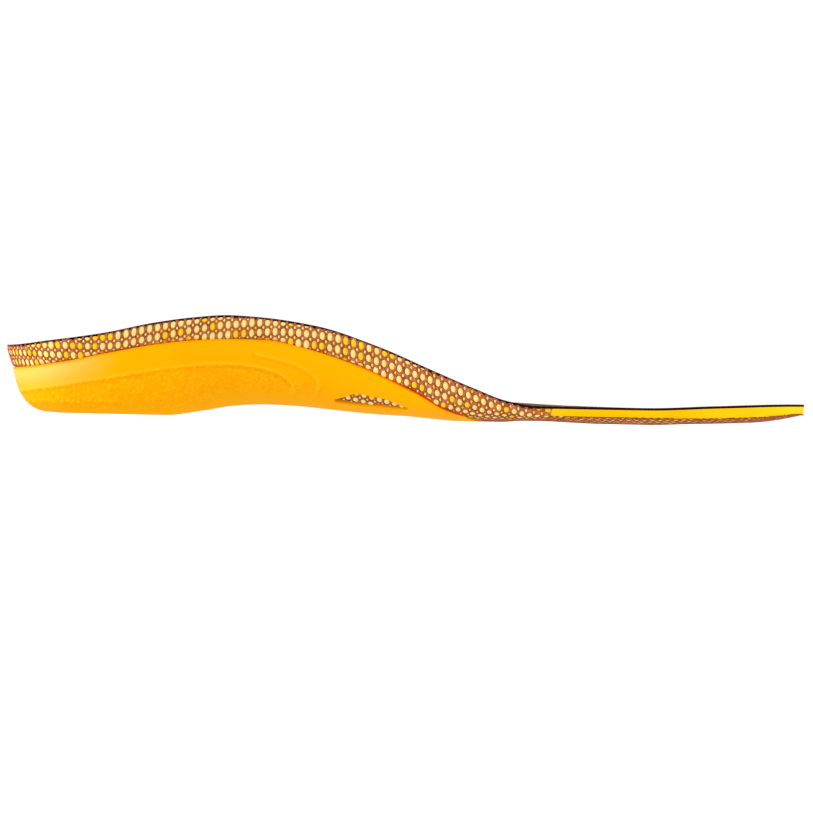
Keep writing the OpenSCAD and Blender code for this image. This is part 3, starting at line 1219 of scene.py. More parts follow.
@dataclass
class SheetLayer:
    """A thin sheet laid over the foot bed, in one piece from heel to toe."""

    name: str
    depth: float
    thickness: float
    rear_rim: float
    front_rim: float
    inset: float = 0.0
    spacing: float = 2.0
    rows: int = 22
    round_edge: float = 0.0
    rim_start: float = 0.84
    rim_run: float = 0.14

    def _lay(self, half: Half) -> Piece:
        """Lays the sheet's upper face over one half.

        Args:
            half: The half.

        Returns:
            The laid face.
        """
        outline = FORM.outline(half)
        stations = outline.symmetric(self.spacing)

        def lay(column: Array, row: Array) -> Laid:
            """Lays the upper face and notes the way down to the lower one.

            Args:
                column: Column of each point.
                row: Row of each point.

            Returns:
                The laid points and marks.
            """
            station = stations[column.astype(int)]
            reach = np.linalg.norm(outline.rim(station) - outline.middle(station), axis=-1)
            share = (1 - (row / self.rows)**1.15) * (1 - self.inset / reach)
            upper = FORM.bed(outline, station, share, self.depth)
            pressed = lerp(self.rear_rim, self.front_rim, FORM.trimmed(upper[:, 0]))
            thickness = lerp(self.thickness, pressed, ease((share - self.rim_start) / self.rim_run))
            down = FORM.bed(outline, station, share, self.depth + thickness) - upper
            return upper, {f"down_{axis}": down[:, axis] for axis in range(3)}

        return laid_grid(f"{self.name}_{half.value}", len(stations) - 1, self.rows, lay)

    def build(self) -> Piece:
        """Builds the sheet as a closed piece with its thickness.

        Returns:
            The finished mesh object.
        """
        obj = joined_halves(self.name, self._lay, 0.004)
        face_one_way(obj, up=True)
        upper = places(obj)
        down = np.stack([tints(obj, f"down_{axis}") for axis in range(3)], axis=-1)
        wall = obj.modifiers.new("thickness", "SOLIDIFY")
        wall.thickness = self.thickness * MM
        wall.offset = -1
        apply_all(obj)
        put(obj, np.concatenate([upper, upper + down * MM]))
        if self.round_edge:
            soften(obj, self.round_edge, 60)
        smooth(obj, 60)
        return obj


@dataclass
class TopCover(SheetLayer):
    """Black cloth cover, the face that the foot rests on."""

    name: str = "top_cover"
    depth: float = 0.0
    thickness: float = 0.7
    rear_rim: float = 0.32
    front_rim: float = 0.88
    round_edge: float = 0.1
    edge_face: float = 4e-6

    def fit(self, cloth: bpy.types.Material, cut_edge: bpy.types.Material) -> Piece:
        """Args:
            cloth: The cover's material.
            cut_edge: The material of its cut edge.

        Returns:
            The finished piece.
        """
        obj = self.build()
        dress(obj, cloth)
        obj.data.materials.append(cut_edge)
        self._mark_edge(obj)
        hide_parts("top_cover_rear", "top_cover_front")
        FLEX.bend(obj)
        return obj

    def _mark_edge(self, obj: Piece) -> None:
        """Gives the narrow faces of the cut edge, all round, their own finish.

        Args:
            obj: The cover.
        """
        outlines = [FORM.outline(half) for half in Half]
        rim = np.concatenate([line.rim(line.even(0, line.last, 700)) for line in outlines])
        for face in obj.data.polygons:
            if face.area > self.edge_face:
                continue
            gap = np.sqrt(((rim - np.array(face.center[:2]) / MM)**2).sum(axis=1).min())
            looks_up = face.normal.z > 0.55 and gap > 0.15
            if gap < 0.45 and not looks_up:
                face.material_index = 1


@dataclass
class CoverFilm(SheetLayer):
    """Hot-melt film between the cover and the foam."""

    name: str = "cover_bond"
    depth: float = 0.74
    thickness: float = 0.08
    rear_rim: float = 0.08
    front_rim: float = 0.08
    inset: float = 2.5
    spacing: float = 4.0
    rows: int = 12

    def fit(self, film: bpy.types.Material) -> Piece:
        """Args:
            film: The film's material.

        Returns:
            The finished piece.
        """
        obj = self.build()
        dress(obj, film)
        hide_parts("cover_bond_rear", "cover_bond_front")
        FLEX.bend(obj)
        return obj


@dataclass
class NetLattice:
    """Places of the net's meshes: large oval holes, with small holes between four of them."""

    pitch_along: float = 2.74
    pitch_down: float = 3.7
    rows: int = 15
    small_along: float = 0.46
    small_down: float = 0.68
    seed: int = 11
    toe_reach: float = 120.0
    drift: Table = Table(((-140, 6.5), (-121, 3.3), (-97, 0), (-86, 0.3), (-60, 2.4), (-41, 5.4),
                          (-19, 7.5), (-8, 8.4), (19, 10.6), (33, 10.6), (56, 9.4)))
    tallness: Table = Table(((-140, 0.82), (-100, 0.95), (-60, 1.0), (-20, 0.93), (5, 0.8), (56, 0.72)))

    def __post_init__(self) -> None:
        """Lays out the meshes over the rear and the front."""
        self.random = np.random.default_rng(self.seed)
        self.rear_skin = Skin(Half.REAR, 0.0)
        self.front_skin = Skin(Half.FRONT, 0.0)
        self.front_tree = self._front_tree()
        self.edge_line, self.edge_outward = self._front_edge_line()
        self.rear = self._rear_cells()
        self.front = self._front_cells()

    def _front_tree(self) -> BVHTree:
        """Returns a search tree of the front's underside.

        Returns:
            The tree, in millimetres.
        """
        stations = self.front_skin.outline.symmetric(1.2)
        count = 60
        shares = np.linspace(0, 1, count)
        drop = self.side_drop(Half.FRONT, stations)
        length = self.front_skin.long(stations)
        points = [tuple(point) for station, low, high in zip(stations, drop, length)
                  for point in self.front_skin.at(np.full(count, station), lerp(low, high, shares))]
        faces = [(n, n + count, n + count + 1, n + 1)
                 for i in range(len(stations) - 1) for n in range(i * count, (i + 1) * count - 1)]
        return BVHTree.FromPolygons(points, faces)

    def side_drop(self, half: Half, station: Array) -> Array:
        """Returns how far down the cut edge the net starts, where it leaves the side open.

        Args:
            half: The half.
            station: Stations of the points.
        """
        outline = FORM.outline(half)
        rim = outline.rim(station)
        drop = FORM.side_top(rim) - FORM.front_edge.at(rim[..., 0])
        if half is Half.FRONT:
            return drop
        return np.where(outline.near(station) < FORM.net_side_end, drop, 0.0)

    def row_distance(self, row: Array, station: Array) -> Array:
        """Returns the distance from the rim at which a row's line lies.

        Args:
            row: Row numbers, whole or between two rows.
            station: Stations of the points.
        """
        drift = self.drift.at(FORM.outline(Half.REAR).rim(station)[..., 0])
        plain = self.pitch_down * row - drift
        last = self.pitch_down * self.rows - drift
        return plain + ease(row / self.rows) * (self.rear_skin.long(station) - last)

    def _rear_cells(self) -> dict[str, Array]:
        """Returns the rear's cells as station and row ranges.

        Returns:
            One value for each cell, by name.
        """
        outline = self.rear_skin.outline
        stations = outline.symmetric(self.pitch_along)
        ends = np.sort(np.concatenate([stations, [FORM.net_side_end, outline.last - FORM.net_side_end]]))
        ends = ends[np.concatenate([[True], np.diff(ends) > 0.045])]
        first, row = np.meshgrid(np.arange(len(ends) - 1), np.arange(-1, self.rows), indexing="ij")
        first, row = first.ravel(), row.ravel()
        s0, s1 = ends[first], ends[first + 1]
        middle = (s0 + s1) / 2
        top = self.side_drop(Half.REAR, middle)
        low, high = self.row_distance(row, middle), self.row_distance(row + 1, middle)
        use = high > top + 0.35
        return {"s0": s0[use], "s1": s1[use], "row": row[use].astype(float), "top": top[use], "low": low[use]}

    def _front_cells(self) -> dict[str, Array]:
        """Returns the front's cells as ranges along and across.

        Returns:
            One value for each cell, by name.
        """
        skin = self.rear_skin
        lines = np.arange(3, self.rows + 1)
        inner = skin.at(np.zeros(len(lines)), self.row_distance(lines, np.zeros(len(lines))))[:, 1]
        outer_station = np.full(len(lines), float(skin.outline.last))
        outer = skin.at(outer_station, self.row_distance(lines, outer_station))[:, 1]
        across = np.concatenate([[inner[0] - self.pitch_down], inner, outer[::-1][1:],
                                 [outer[0] + self.pitch_down]])
        along = np.arange(0, self.toe_reach, self.pitch_along)
        i, j = np.meshgrid(np.arange(len(along) - 1), np.arange(len(across) - 1), indexing="ij")
        i, j = i.ravel(), j.ravel()
        cells = {"a0": along[i], "a1": along[i + 1], "y0": across[j], "y1": across[j + 1]}
        centre = np.stack([(cells["a0"] + cells["a1"]) / 2, (cells["y0"] + cells["y1"]) / 2], axis=-1)
        plan = self.front_plan(centre[:, 0], centre[:, 1])
        use = self.inside_front(plan, 1.0)
        return {key: value[use] for key, value in cells.items()}

    @staticmethod
    def front_plan(ahead: Array, across: Array) -> Array:
        """Returns plan points at a distance ahead of the flex line."""
        (x0, y0), (x1, y1) = FORM.rear_inner[0], FORM.rear_outer[0]
        return np.stack([x0 + (across - y0) * (x1 - x0) / (y1 - y0) + ahead, across], axis=-1)

    def _front_edge_line(self) -> tuple[Array, Array]:
        """Returns the front's outline as close points, with their outward directions.

        Returns:
            The points and the directions, in plan.
        """
        outline = self.front_skin.outline
        station = outline.even(0, outline.last, 900)
        points = outline.rim(station)
        along = np.gradient(points, axis=0)
        along /= np.linalg.norm(along, axis=1, keepdims=True)
        return points, np.stack([along[:, 1], -along[:, 0]], axis=-1)

    def inside_front(self, plan: Array, margin: float) -> Array:
        """Tells which plan points lie inside the front's outline, give or take a margin."""
        return self._beyond(plan)[0] < margin

    def _beyond(self, plan: Array) -> tuple[Array, Array]:
        """Returns how far each plan point lies beyond the outline, and the nearest outline point.

        Args:
            plan: Plan points.
        """
        beyond, nearest = np.empty(len(plan)), np.empty((len(plan), 2))
        batch = 2000
        for i in range(0, len(plan), batch):
            part = plan[i:i + batch]
            gap = part[:, None, :] - self.edge_line[None, :, :]
            index = np.argmin((gap**2).sum(axis=2), axis=1)
            closest = gap[np.arange(len(part)), index]
            beyond[i:i + batch] = (closest * self.edge_outward[index]).sum(axis=1)
            nearest[i:i + batch] = self.edge_line[index]
        return beyond, nearest

    def front_points(self, ahead: Array, across: Array) -> tuple[Array, Array]:
        """Drops plan places onto the front's underside.

        Args:
            ahead: Distance ahead of the flex line.
            across: Place across.

        Returns:
            Points in millimetres and the outward normals there.
        """
        plan = self.front_plan(ahead, across)
        beyond, nearest = self._beyond(plan)
        plan = np.where((beyond > -0.05)[:, None] & (ahead > 0.01)[:, None], nearest, plan)
        points, normals = np.empty((len(plan), 3)), np.empty((len(plan), 3))
        for i, (x, y) in enumerate(plan):
            spot, normal, _, _ = self.front_tree.ray_cast(Vector((x, y, -20)), Vector((0, 0, 1)))
            if spot is None:
                spot, normal, _, _ = self.front_tree.find_nearest(Vector((x, y, 0)))
            points[i] = spot
            points[i, :2] = x, y
            normals[i] = normal if normal.z < 0 else -normal
        return points, normals

    def covered(self, cells: dict[str, Array]) -> Array:
        """Tells which of the rear's cells lie out of sight under the cap.

        Args:
            cells: The rear's cells.
        """
        station = (cells["s0"] + cells["s1"]) / 2
        ends = [self.row_distance(cells["row"] + end, station) for end in (0, 1)]
        distance = sum(ends) / 2
        point = self.rear_skin.at(station, distance)
        under = distance > self.rear_skin.cap_edge(station) + 2.2
        under &= point[:, 0] < FORM.tongue_edge.at(point[:, 1]) - 2.5
        for window in CapWindow:
            under &= window.gap(point[:, :2]) > 1.6
        return under


CAP_CORNER = 1.4
WINDOW_SWELL = 1.5


class CapWindow(Enum):
    """The two openings in the cap's floor, as plan corners before they are rounded."""

    INNER = ((-23.2, -18.6), (-16.5, -24.8), (-6, -27), (0.2, -26.4), (-15.5, -20.4))
    OUTER = ((-27, 14), (-19, 24.5), (-1, 21.5), (0, 18), (-12, 13.5))

    def gap(self, plan: Array) -> Array:
        """Returns each plan point's distance from the opening's straight-sided core, 0 inside.

        Args:
            plan: Plan points.
        """
        corners = np.array(self.value, dtype=float)
        following = np.roll(corners, -1, axis=0)
        side = following - corners
        offset = plan[:, None, :] - corners[None]
        share = np.clip((offset * side).sum(axis=2) / (side**2).sum(axis=1), 0, 1)
        away = np.linalg.norm(offset - share[..., None] * side, axis=2).min(axis=1)
        turn = side[None, :, 0] * offset[..., 1] - side[None, :, 1] * offset[..., 0]
        inside = np.all(turn >= 0, axis=1) | np.all(turn <= 0, axis=1)
        return np.where(inside, 0.0, away)

    def snap(self, plan: Array, corner: float) -> Array:
        """Moves plan points onto the opening's rounded edge.

        Args:
            plan: Plan points near the edge.
            corner: Radius of the opening's corners.

        Returns:
            The moved points.
        """
        corners = np.array(self.value, dtype=float)
        following = np.roll(corners, -1, axis=0)
        fine = np.concatenate([lerp(a, b, np.linspace(0, 1, 60, endpoint=False)[:, None])
                               for a, b in zip(corners, following)])
        gap = np.linalg.norm(plan[:, None, :] - fine[None], axis=2)
        foot = fine[np.argmin(gap, axis=1)]
        away = plan - foot
        size = np.linalg.norm(away, axis=1, keepdims=True)
        inside = (self.gap(plan) <= 0)[:, None]
        away = np.where(inside, -away, away)
        return foot + away / np.maximum(size, 1e-6) * corner


def swell(plan: Array) -> Array:
    """Returns how far the net and foam swell out into the cap's openings, in millimetres."""
    gap = np.min([window.gap(plan) for window in CapWindow], axis=0)
    return WINDOW_SWELL * ease((CAP_CORNER - gap) / (CAP_CORNER - 0.2))


RING = 16


def ring_of_tile(small: Array, large: Array) -> tuple[Array, Array, Array]:
    """Gives the outline of one mesh of the net and the hole in it.

    Args:
        small: Radii of the small corner holes, as shares of the cell along and down.
        large: Half sizes of the large hole, as shares of the cell.

    Returns:
        RING outline points and RING hole points, as shares of the cell, and
        the height of each outline point.
    """
    bow, low = math.sqrt(0.5), 0.32
    outline, high = [], []
    corners = ((1, 1), (-1, 1), (-1, -1), (1, -1))
    middles = ((0.5, 1.0), (0.0, 0.5), (0.5, 0.0), (1.0, 0.5))
    for (side, end), middle in zip(corners, middles):
        arc = [(0.5, 0.5 - small[1]), (0.5 - small[0] * bow, 0.5 - small[1] * bow), (0.5 - small[0], 0.5)]
        if side * end < 0:
            arc = arc[::-1]
        outline += [(0.5 + side * x, 0.5 + end * y) for x, y in arc] + [middle]
        high += [low, 0.1, low, 0.85 if middle[0] == 0.5 else 1.0]
    turns = np.radians([quarter + turn for quarter in (0, 90, 180, 270) for turn in (30, 45, 60, 90)])
    ring = np.stack([0.5 + large[0] * np.cos(turns), 0.5 + large[1] * np.sin(turns)], axis=-1)
    return np.array(outline), ring, np.array(high)


def hidden_tile(outline: Array) -> Array:
    """Returns the outline of a mesh with its corner holes filled in.

    Args:
        outline: The mesh's outline, in shares of its cell.
    """
    filled = outline.copy()
    filled[1::4] = ((1.0, 1.0), (0.0, 1.0), (0.0, 0.0), (1.0, 0.0))
    return filled


@dataclass(frozen=True)
class NetCell:
    """One mesh of the net."""

    half: Half
    number: int
    width: float
    tall: float
    hidden: bool = False


@dataclass
class NetSkin:
    """Knitted net that covers the outside of the foam, down from the cover to the sole."""

    lattice: NetLattice
    hole_along: float = 0.98
    hole_down: float = 1.5
    crest: float = 0.36
    low: float = 0.02
    rim_slope: float = 1.4
    dome_top: float = 0.5

    def _cells(self) -> list[NetCell]:
        """Returns every mesh of the net, the rear's first.

        Returns:
            The meshes, in the order of their numbers.
        """
        lattice, cells = self.lattice, []
        rear, skin = lattice.rear, lattice.rear_skin
        covered = lattice.covered(rear)
        for i, (s0, s1, low) in enumerate(zip(rear["s0"], rear["s1"], np.maximum(rear["low"], 0))):
            width = float(np.linalg.norm(skin.at(s1, low) - skin.at(s0, low)))
            tall = float(lattice.tallness.at(skin.outline.rim(s0)[0]))
            cells.append(NetCell(Half.REAR, i, max(width, 0.3), tall, bool(covered[i])))
        tall = float(lattice.tallness.at(FORM.rear_inner[0][0]))
        return cells + [NetCell(Half.FRONT, i, lattice.pitch_along, tall)
                        for i in range(len(lattice.front["a0"]))]

    def build(self) -> tuple[Piece, Array, Array]:
        """Builds the net, and lists its holes for the foam's domes.

        Returns:
            The net, the places of the holes in millimetres with their outward and
            along directions, and their half sizes.
        """
        lattice, pitch, random = self.lattice, self.lattice.pitch_down, self.lattice.random
        share, in_rear, number, height, faces, holes = [], [], [], [], [], []
        base = 0
        for cell in self._cells():
            small = np.array([min(0.3, lattice.small_along / cell.width), lattice.small_down / pitch])
            large = np.array([min(0.36, self.hole_along / cell.width), self.hole_down * cell.tall / pitch])
            large *= random.uniform(0.94, 1.06, 2)
            shift = random.uniform(-0.02, 0.02, 2)
            outline, ring, high = ring_of_tile(small, large)
            if cell.hidden:
                share.append(hidden_tile(outline))
                height.append(np.full(RING, 0.5))
                faces.append([base + k for k in range(RING)])
            else:
                ring = ring + shift
                share.append(np.concatenate([ring, (outline + ring) / 2, outline]))
                height.append(np.concatenate([np.zeros(RING), np.full(RING, 0.92), high]))
                for first in (base, base + RING):
                    for k in range(RING):
                        n = (k + 1) % RING
                        faces.append([first + k, first + n, first + RING + n, first + RING + k])
                holes.append((cell, (*large, 0.0), shift + 0.5))
                holes.append((cell, (*(small * 0.92), 1.0), np.ones(2)))
            count = len(share[-1])
            base += count
            in_rear.append(np.full(count, cell.half is Half.REAR))
            number.append(np.full(count, cell.number))
        share, height = np.concatenate(share), np.concatenate(height)
        in_rear, number = np.concatenate(in_rear), np.concatenate(number)
        points, normals = self._placed(share, in_rear, number)
        lift = self.low + (self.crest - self.low) * height - FORM.net
        tucked = -np.maximum(self._below_rim(share, in_rear, number), 0) / self.rim_slope
        lift = np.where(in_rear, np.maximum(lift, tucked), lift)
        obj = raw_mesh("net_skin", points + normals * lift[:, None], faces)
        tint(obj, "cord_height", height)
        self._clean(obj)
        return obj, *self._holes(holes)

    def _rear_spot(self, share: Array, number: Array) -> tuple[Array, Array]:
        """Returns the station of the rear's cell points, and their distance from the rim.

        Args:
            share: Places in the cell, along and down.
            number: Number of each point's cell.
        """
        rear = self.lattice.rear
        station = lerp(rear["s0"][number], rear["s1"][number], share[:, 0])
        return station, self.lattice.row_distance(rear["row"][number] + share[:, 1], station)

    def _front_spot(self, share: Array, number: Array) -> tuple[Array, Array]:
        """Returns how far the front's cell points lie ahead of the flex line, and across.

        Args:
            share: Places in the cell, along and down.
            number: Number of each point's cell.
        """
        front = self.lattice.front
        return (lerp(front["a0"][number], front["a1"][number], share[:, 0]),
                lerp(front["y0"][number], front["y1"][number], share[:, 1]))

    def _placed(self, share: Array, in_rear: Array, number: Array,
                swollen: float = 1.0) -> tuple[Array, Array]:
        """Places points of the cells on the surface.

        Args:
            share: Places in the cell, along and down.
            in_rear: True for the points in the rear.
            number: Number of each point's cell.
            swollen: Share of the swelling into the cap's openings.

        Returns:
            Points in millimetres and the outward normals there.
        """
        skin = self.lattice.rear_skin
        points, normals = np.empty((len(share), 3)), np.empty((len(share), 3))
        station, distance = self._rear_spot(share[in_rear], number[in_rear])
        distance = np.clip(distance, self.lattice.rear["top"][number[in_rear]], skin.long(station))
        laid = skin.at(station, distance)
        normals[in_rear] = skin.normal(station, distance)
        points[in_rear] = laid + normals[in_rear] * swell(laid[:, :2])[:, None] * swollen
        spot = self._front_spot(share[~in_rear], number[~in_rear])
        points[~in_rear], normals[~in_rear] = self.lattice.front_points(*spot)
        return points, normals

    def _holes(self, holes: list[tuple[NetCell, tuple, Array]]) -> tuple[Array, Array]:
        """Finds where the foam's domes come through the net.

        Args:
            holes: The cell, the size and the place in the cell of each hole.

        Returns:
            Centre, outward, along and down directions of each dome, and its half sizes.
        """
        share = np.array([spot for _, _, spot in holes])
        in_rear = np.array([cell.half is Half.REAR for cell, _, _ in holes])
        number = np.array([cell.number for cell, _, _ in holes])
        size = np.array([size for _, size, _ in holes])
        pitch = self.lattice.pitch_down
        middle = self._below_rim(share, in_rear, number)
        reach = size[:, 1] * pitch
        upper = np.maximum(middle - reach, np.where(in_rear, self.dome_top, -np.inf))
        share[:, 1] += ((upper + middle + reach) / 2 - middle) / pitch
        size[:, 1] = (middle + reach - upper) / 2 / pitch
        kept = (size[:, 1] > 0.2 / pitch) & self._inside(in_rear, number, share)
        share, in_rear, number, size = share[kept], in_rear[kept], number[kept], size[kept]
        centre, normal = self._placed(share, in_rear, number)
        flat, beside, above = (self._placed(share - np.array(back), in_rear, number, 0.0)[0]
                               for back in ((0.0, 0.0), (0.1, 0.0), (0.0, 0.1)))
        return np.stack([centre, normal, (flat - beside) * 10, (flat - above) * 10], axis=1), size

    def _below_rim(self, share: Array, in_rear: Array, number: Array) -> Array:
        """Returns how far points lie below the net's upper line, 0 all over the front.

        Args:
            share: Places in the cell, along and down.
            in_rear: True for the points in the rear.
            number: Number of each point's cell.
        """
        below = np.zeros(len(share))
        station, distance = self._rear_spot(share[in_rear], number[in_rear])
        below[in_rear] = distance - self.lattice.side_drop(Half.REAR, station)
        return below

    def _inside(self, in_rear: Array, number: Array, share: Array) -> Array:
        """Tells which holes lie inside the net's edge in the front; all of the rear's do.

        Args:
            in_rear: True for the holes in the rear.
            number: Number of each hole's cell.
            share: Places in the cell, along and down.
        """
        inside = np.ones(len(share), dtype=bool)
        plan = self.lattice.front_plan(*self._front_spot(share[~in_rear], number[~in_rear]))
        inside[~in_rear] = self.lattice.inside_front(plan, -self.hole_along)
        return inside

    @staticmethod
    def _clean(obj: Piece) -> None:
        """Joins neighbouring cells and drops what was cut away at the edges."""
        edit(obj, lambda: bpy.ops.mesh.remove_doubles(threshold=0.02 * MM),
             lambda: bpy.ops.mesh.dissolve_degenerate(threshold=0.01 * MM))

    def fit(self, net: bpy.types.Material) -> tuple[Piece, Array, Array]:
        """Args:
            net: The net's material.

        Returns:
            The net, and the places and half sizes of its holes.
        """
        obj, frames, sizes = self.build()
        smooth(obj, 80)
        dress(obj, net)
        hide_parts("net_skin_rear", "net_skin_front")
        FLEX.bend(obj)
        return obj, frames, sizes


@dataclass
class FoamBody:
    """The foam body, with the low domes that swell into the net's holes."""

    spacing: float = 1.6
    bed_rows: int = 16
    side_rows: int = 44
    rim_room: float = 0.25
    side_start: float = 0.65
    dome_rise: float = 0.24
    dome_foot: float = -0.46
    golden_share: float = 0.24
    seed: int = 5

    def _half(self, half: Half) -> Piece:
        """Lays the foam's whole outside round one half.

        Args:
            half: The half.

        Returns:
            The laid piece.
        """
        skin = Skin(half, FORM.net)
        outline = skin.outline
        stations = outline.symmetric(self.spacing)

        def lay(column: Array, row: Array) -> Laid:
            """Lays the bed's rows, then the side's and the underside's.

            Args:
                column: Column of each point.
                row: Row of each point.

            Returns:
                The laid points and marks.
            """
            station = stations[column.astype(int)]
            rim = outline.rim(station)
            share = np.clip(row / self.bed_rows, 0, 1)**0.9 * 0.985
            line = FORM.rim_height(rim) - FORM.side_top(rim)
            depth = lerp(FORM.lining + 0.02, line + self.rim_room, ease((share - 0.8) / 0.16))
            bed = FORM.bed(outline, station, share, depth)
            down = np.clip((row - self.bed_rows) / self.side_rows, 0, 1)**1.25
            behind_net = ease((outline.near(station) - FORM.net_side_end) / FORM.net_side_turn)
            start = self.side_start * behind_net if half is Half.REAR else 0.0
            distance = lerp(start, skin.long(station), down)
            side = skin.at(station, distance)
            if half is Half.REAR:
                side = side + skin.normal(station, distance) * swell(side[:, :2])[:, None]
            return np.where((row < self.bed_rows)[:, None], bed, side), {}

        return laid_grid(f"foam_{half.value}", len(stations) - 1, self.bed_rows + self.side_rows, lay)

    def _domes(self, frames: Array, sizes: Array) -> Piece:
        """Makes the domes in the holes, each a closed lens, the small ones with fewer faces.

        Args:
            frames: Centre, outward, along and down directions of each hole of the net.
            sizes: Half sizes of the holes, as shares of their cells.

        Returns:
            The domes, in one mesh.
        """
        random = np.random.default_rng(self.seed)
        points, faces, tones = [], [], []
        base = 0
        for (centre, normal, side, down), (wide, tall, small) in zip(frames, sizes):
            sides = 5 if small else 8
            ring = np.radians(np.arange(sides) * 360 / sides)
            golden = random.random() < self.golden_share
            tone = 0.3 if golden else random.uniform(0.55, 1.0)
            rise = random.uniform(0.8, 1.15) * self.dome_rise
            lens = []
            for scale, height in ((1.14, self.dome_foot), (0.72, -FORM.net + rise * 0.75)):
                lens += [centre + side * (wide * scale * math.cos(t)) + down * (tall * scale * math.sin(t))
                         + normal * height for t in ring]
            lens.append(centre + normal * (rise - FORM.net))
            points.append(lens)
            tones += [tone] * len(lens)
            for k in range(sides):
                n = (k + 1) % sides
                faces.append([base + k, base + n, base + sides + n, base + sides + k])
                faces.append([base + sides + k, base + sides + n, base + 2 * sides])
            faces.append([base + k for k in range(sides - 1, -1, -1)])
            base += len(lens)
        obj = raw_mesh("foam_domes", np.concatenate(points), faces)
        tint(obj, "dome_tone", np.array(tones))
        return obj

    def fit(self, foam: bpy.types.Material, frames: Array, sizes: Array) -> Piece:
        """Args:
            foam: The foam's material.
            frames: Centre, outward, along and down directions of each hole of the net.
            sizes: Half sizes of the holes, as shares of their cells.

        Returns:
            The finished piece.
        """
        body = joined_halves("foam_body", self._half, 0.02)
        face_outwards(body)
        tint(body, "dome_tone", np.zeros(len(body.data.vertices)))
        domes = self._domes(frames, sizes)
        face_outwards(domes)
        obj = join("foam_body", [body, domes])
        smooth(obj, 55)
        dress(obj, foam)
        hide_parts("foam_body_rear", "foam_body_front")
        FLEX.bend(obj)
        return obj


@dataclass
class CapShell:
    """A shell over the heel and arch with the tongue and the two openings cut out."""

    name: str
    depth: float
    spacing: float
    rows: int
    wall: float
    edge_share: float
    corner: float = CAP_CORNER
    tongue_inset: float = 0.0
    tongue_thins: float = 5.5
    crowding: float = 1.0
    first: float = 1 / 3
    bevel: float = 0.0
    edge_run: float = 4.0

    def _lay(self) -> Piece:
        """Lays the outer face from the upper edge to the middle line.

        Returns:
            The laid face.
        """
        skin = Skin(Half.REAR, self.depth, sunk=False)
        stations = skin.outline.symmetric(self.spacing, self.first)

        def lay(column: Array, row: Array) -> Laid:
            """Lays the rows closer at the upper edge, and notes how far they lie below it.

            Args:
                column: Column of each point.
                row: Row of each point.

            Returns:
                The laid points and marks.
            """
            station = stations[column.astype(int)]
            edge = skin.cap_edge(station)
            distance = lerp(edge, skin.long(station), (row / self.rows)**self.crowding)
            return skin.at(station, distance), {"edge_distance": distance - edge}

        return laid_grid(self.name, len(stations) - 1, self.rows, lay)

    def _cut(self, obj: Piece) -> None:
        """Cuts the tongue and the openings, and draws their edges true.

        Args:
            obj: The shell's outer face.
        """
        mesh = bmesh.new()
        mesh.from_mesh(obj.data)
        tree = BVHTree.FromBMesh(mesh)
        for vertex in mesh.verts:
            vertex.tag = vertex.is_boundary
        faces = list(mesh.faces)
        centre = np.array([face.calc_center_median()[:2] for face in faces]) / MM
        gone = centre[:, 0] > FORM.tongue_edge.at(centre[:, 1]) - self.tongue_inset
        for window in CapWindow:
            gone |= window.gap(centre) < self.corner
        bmesh.ops.delete(mesh, geom=[face for face, away in zip(faces, gone) if away], context="FACES")
        fresh = [vertex for vertex in mesh.verts if vertex.is_boundary and not vertex.tag]
        target = self._true_edge(np.array([vertex.co[:2] for vertex in fresh]) / MM)
        for vertex, (x, y) in zip(fresh, target):
            spot = tree.ray_cast(Vector((x * MM, y * MM, -0.02)), Vector((0, 0, 1)))[0]
            if spot is not None:
                vertex.co = spot
        mesh.to_mesh(obj.data)
        mesh.free()

    def _true_edge(self, plan: Array) -> Array:
        """Moves plan points of a rough cut onto the nearest of the edges that it follows.

        Args:
            plan: Plan points along the rough cut.

        Returns:
            The moved points.
        """
        across = np.linspace(-60, 60, 2400)
        tongue = np.stack([FORM.tongue_edge.at(across) - self.tongue_inset, across], axis=-1)
        gaps = [np.abs(plan[:, 0] + self.tongue_inset - FORM.tongue_edge.at(plan[:, 1]))]
        gaps += [np.abs(window.gap(plan) - self.corner) for window in CapWindow]
        nearest = np.argmin(gaps, axis=0)
        target = plan.copy()
        here = nearest == 0
        far = np.linalg.norm(plan[here][:, None, :] - tongue[None], axis=2)
        target[here] = tongue[np.argmin(far, axis=1)]
        for number, window in enumerate(CapWindow, start=1):
            here = nearest == number
            if here.any():
                target[here] = window.snap(plan[here], self.corner)
        return target

    def build(self) -> Piece:
        """Builds the shell with its wall.

        Returns:
            The finished mesh object.
        """
        obj = self._lay()
        self._cut(obj)
        weld(obj)
        self._relief(obj)
        face_one_way(obj, up=False)
        place = places(obj) / MM
        behind = FORM.tongue_edge.at(place[:, 1]) - place[:, 0]
        full = np.minimum(ease(tints(obj, "edge_distance") / self.edge_run), ease(behind / self.tongue_thins))
        group = obj.vertex_groups.new(name="wall")
        for number, share in enumerate(lerp(self.edge_share, 1.0, full).tolist()):
            group.add([number], share, "REPLACE")
        wall = obj.modifiers.new("wall", "SOLIDIFY")
        wall.thickness = self.wall * MM
        wall.offset = -1
        wall.vertex_group = "wall"
        if self.bevel:
            soften(obj, self.bevel, 55)
        apply_all(obj)
        obj.vertex_groups.clear()
        smooth(obj, 55)
        return obj

    def _relief(self, obj: Piece) -> None:
        """Leaves the face plain; a shell with a pattern raises it here."""


@dataclass(frozen=True)
class Contour:
    """A thin line moulded proud of the cap's side, through (along, up) points."""

    points: Pairs
    strength: float = 1.0

    def gap(self, along: Array, up: Array) -> tuple[Array, Array]:
        """Measures the way to the line.

        Args:
            along: Places along the insole.
            up: Heights, as they would be on the inner side.

        Returns:
            Distance from the line, and height below its nearest point.
        """
        curve = Outline(self.points, 0)
        line = curve.rim(np.linspace(0, curve.last, 40 * curve.last))
        distance = np.hypot(along[:, None] - line[None, :, 0], up[:, None] - line[None, :, 1])
        nearest = np.argmin(distance, axis=1)
        return distance[np.arange(len(along)), nearest], line[nearest, 1] - up


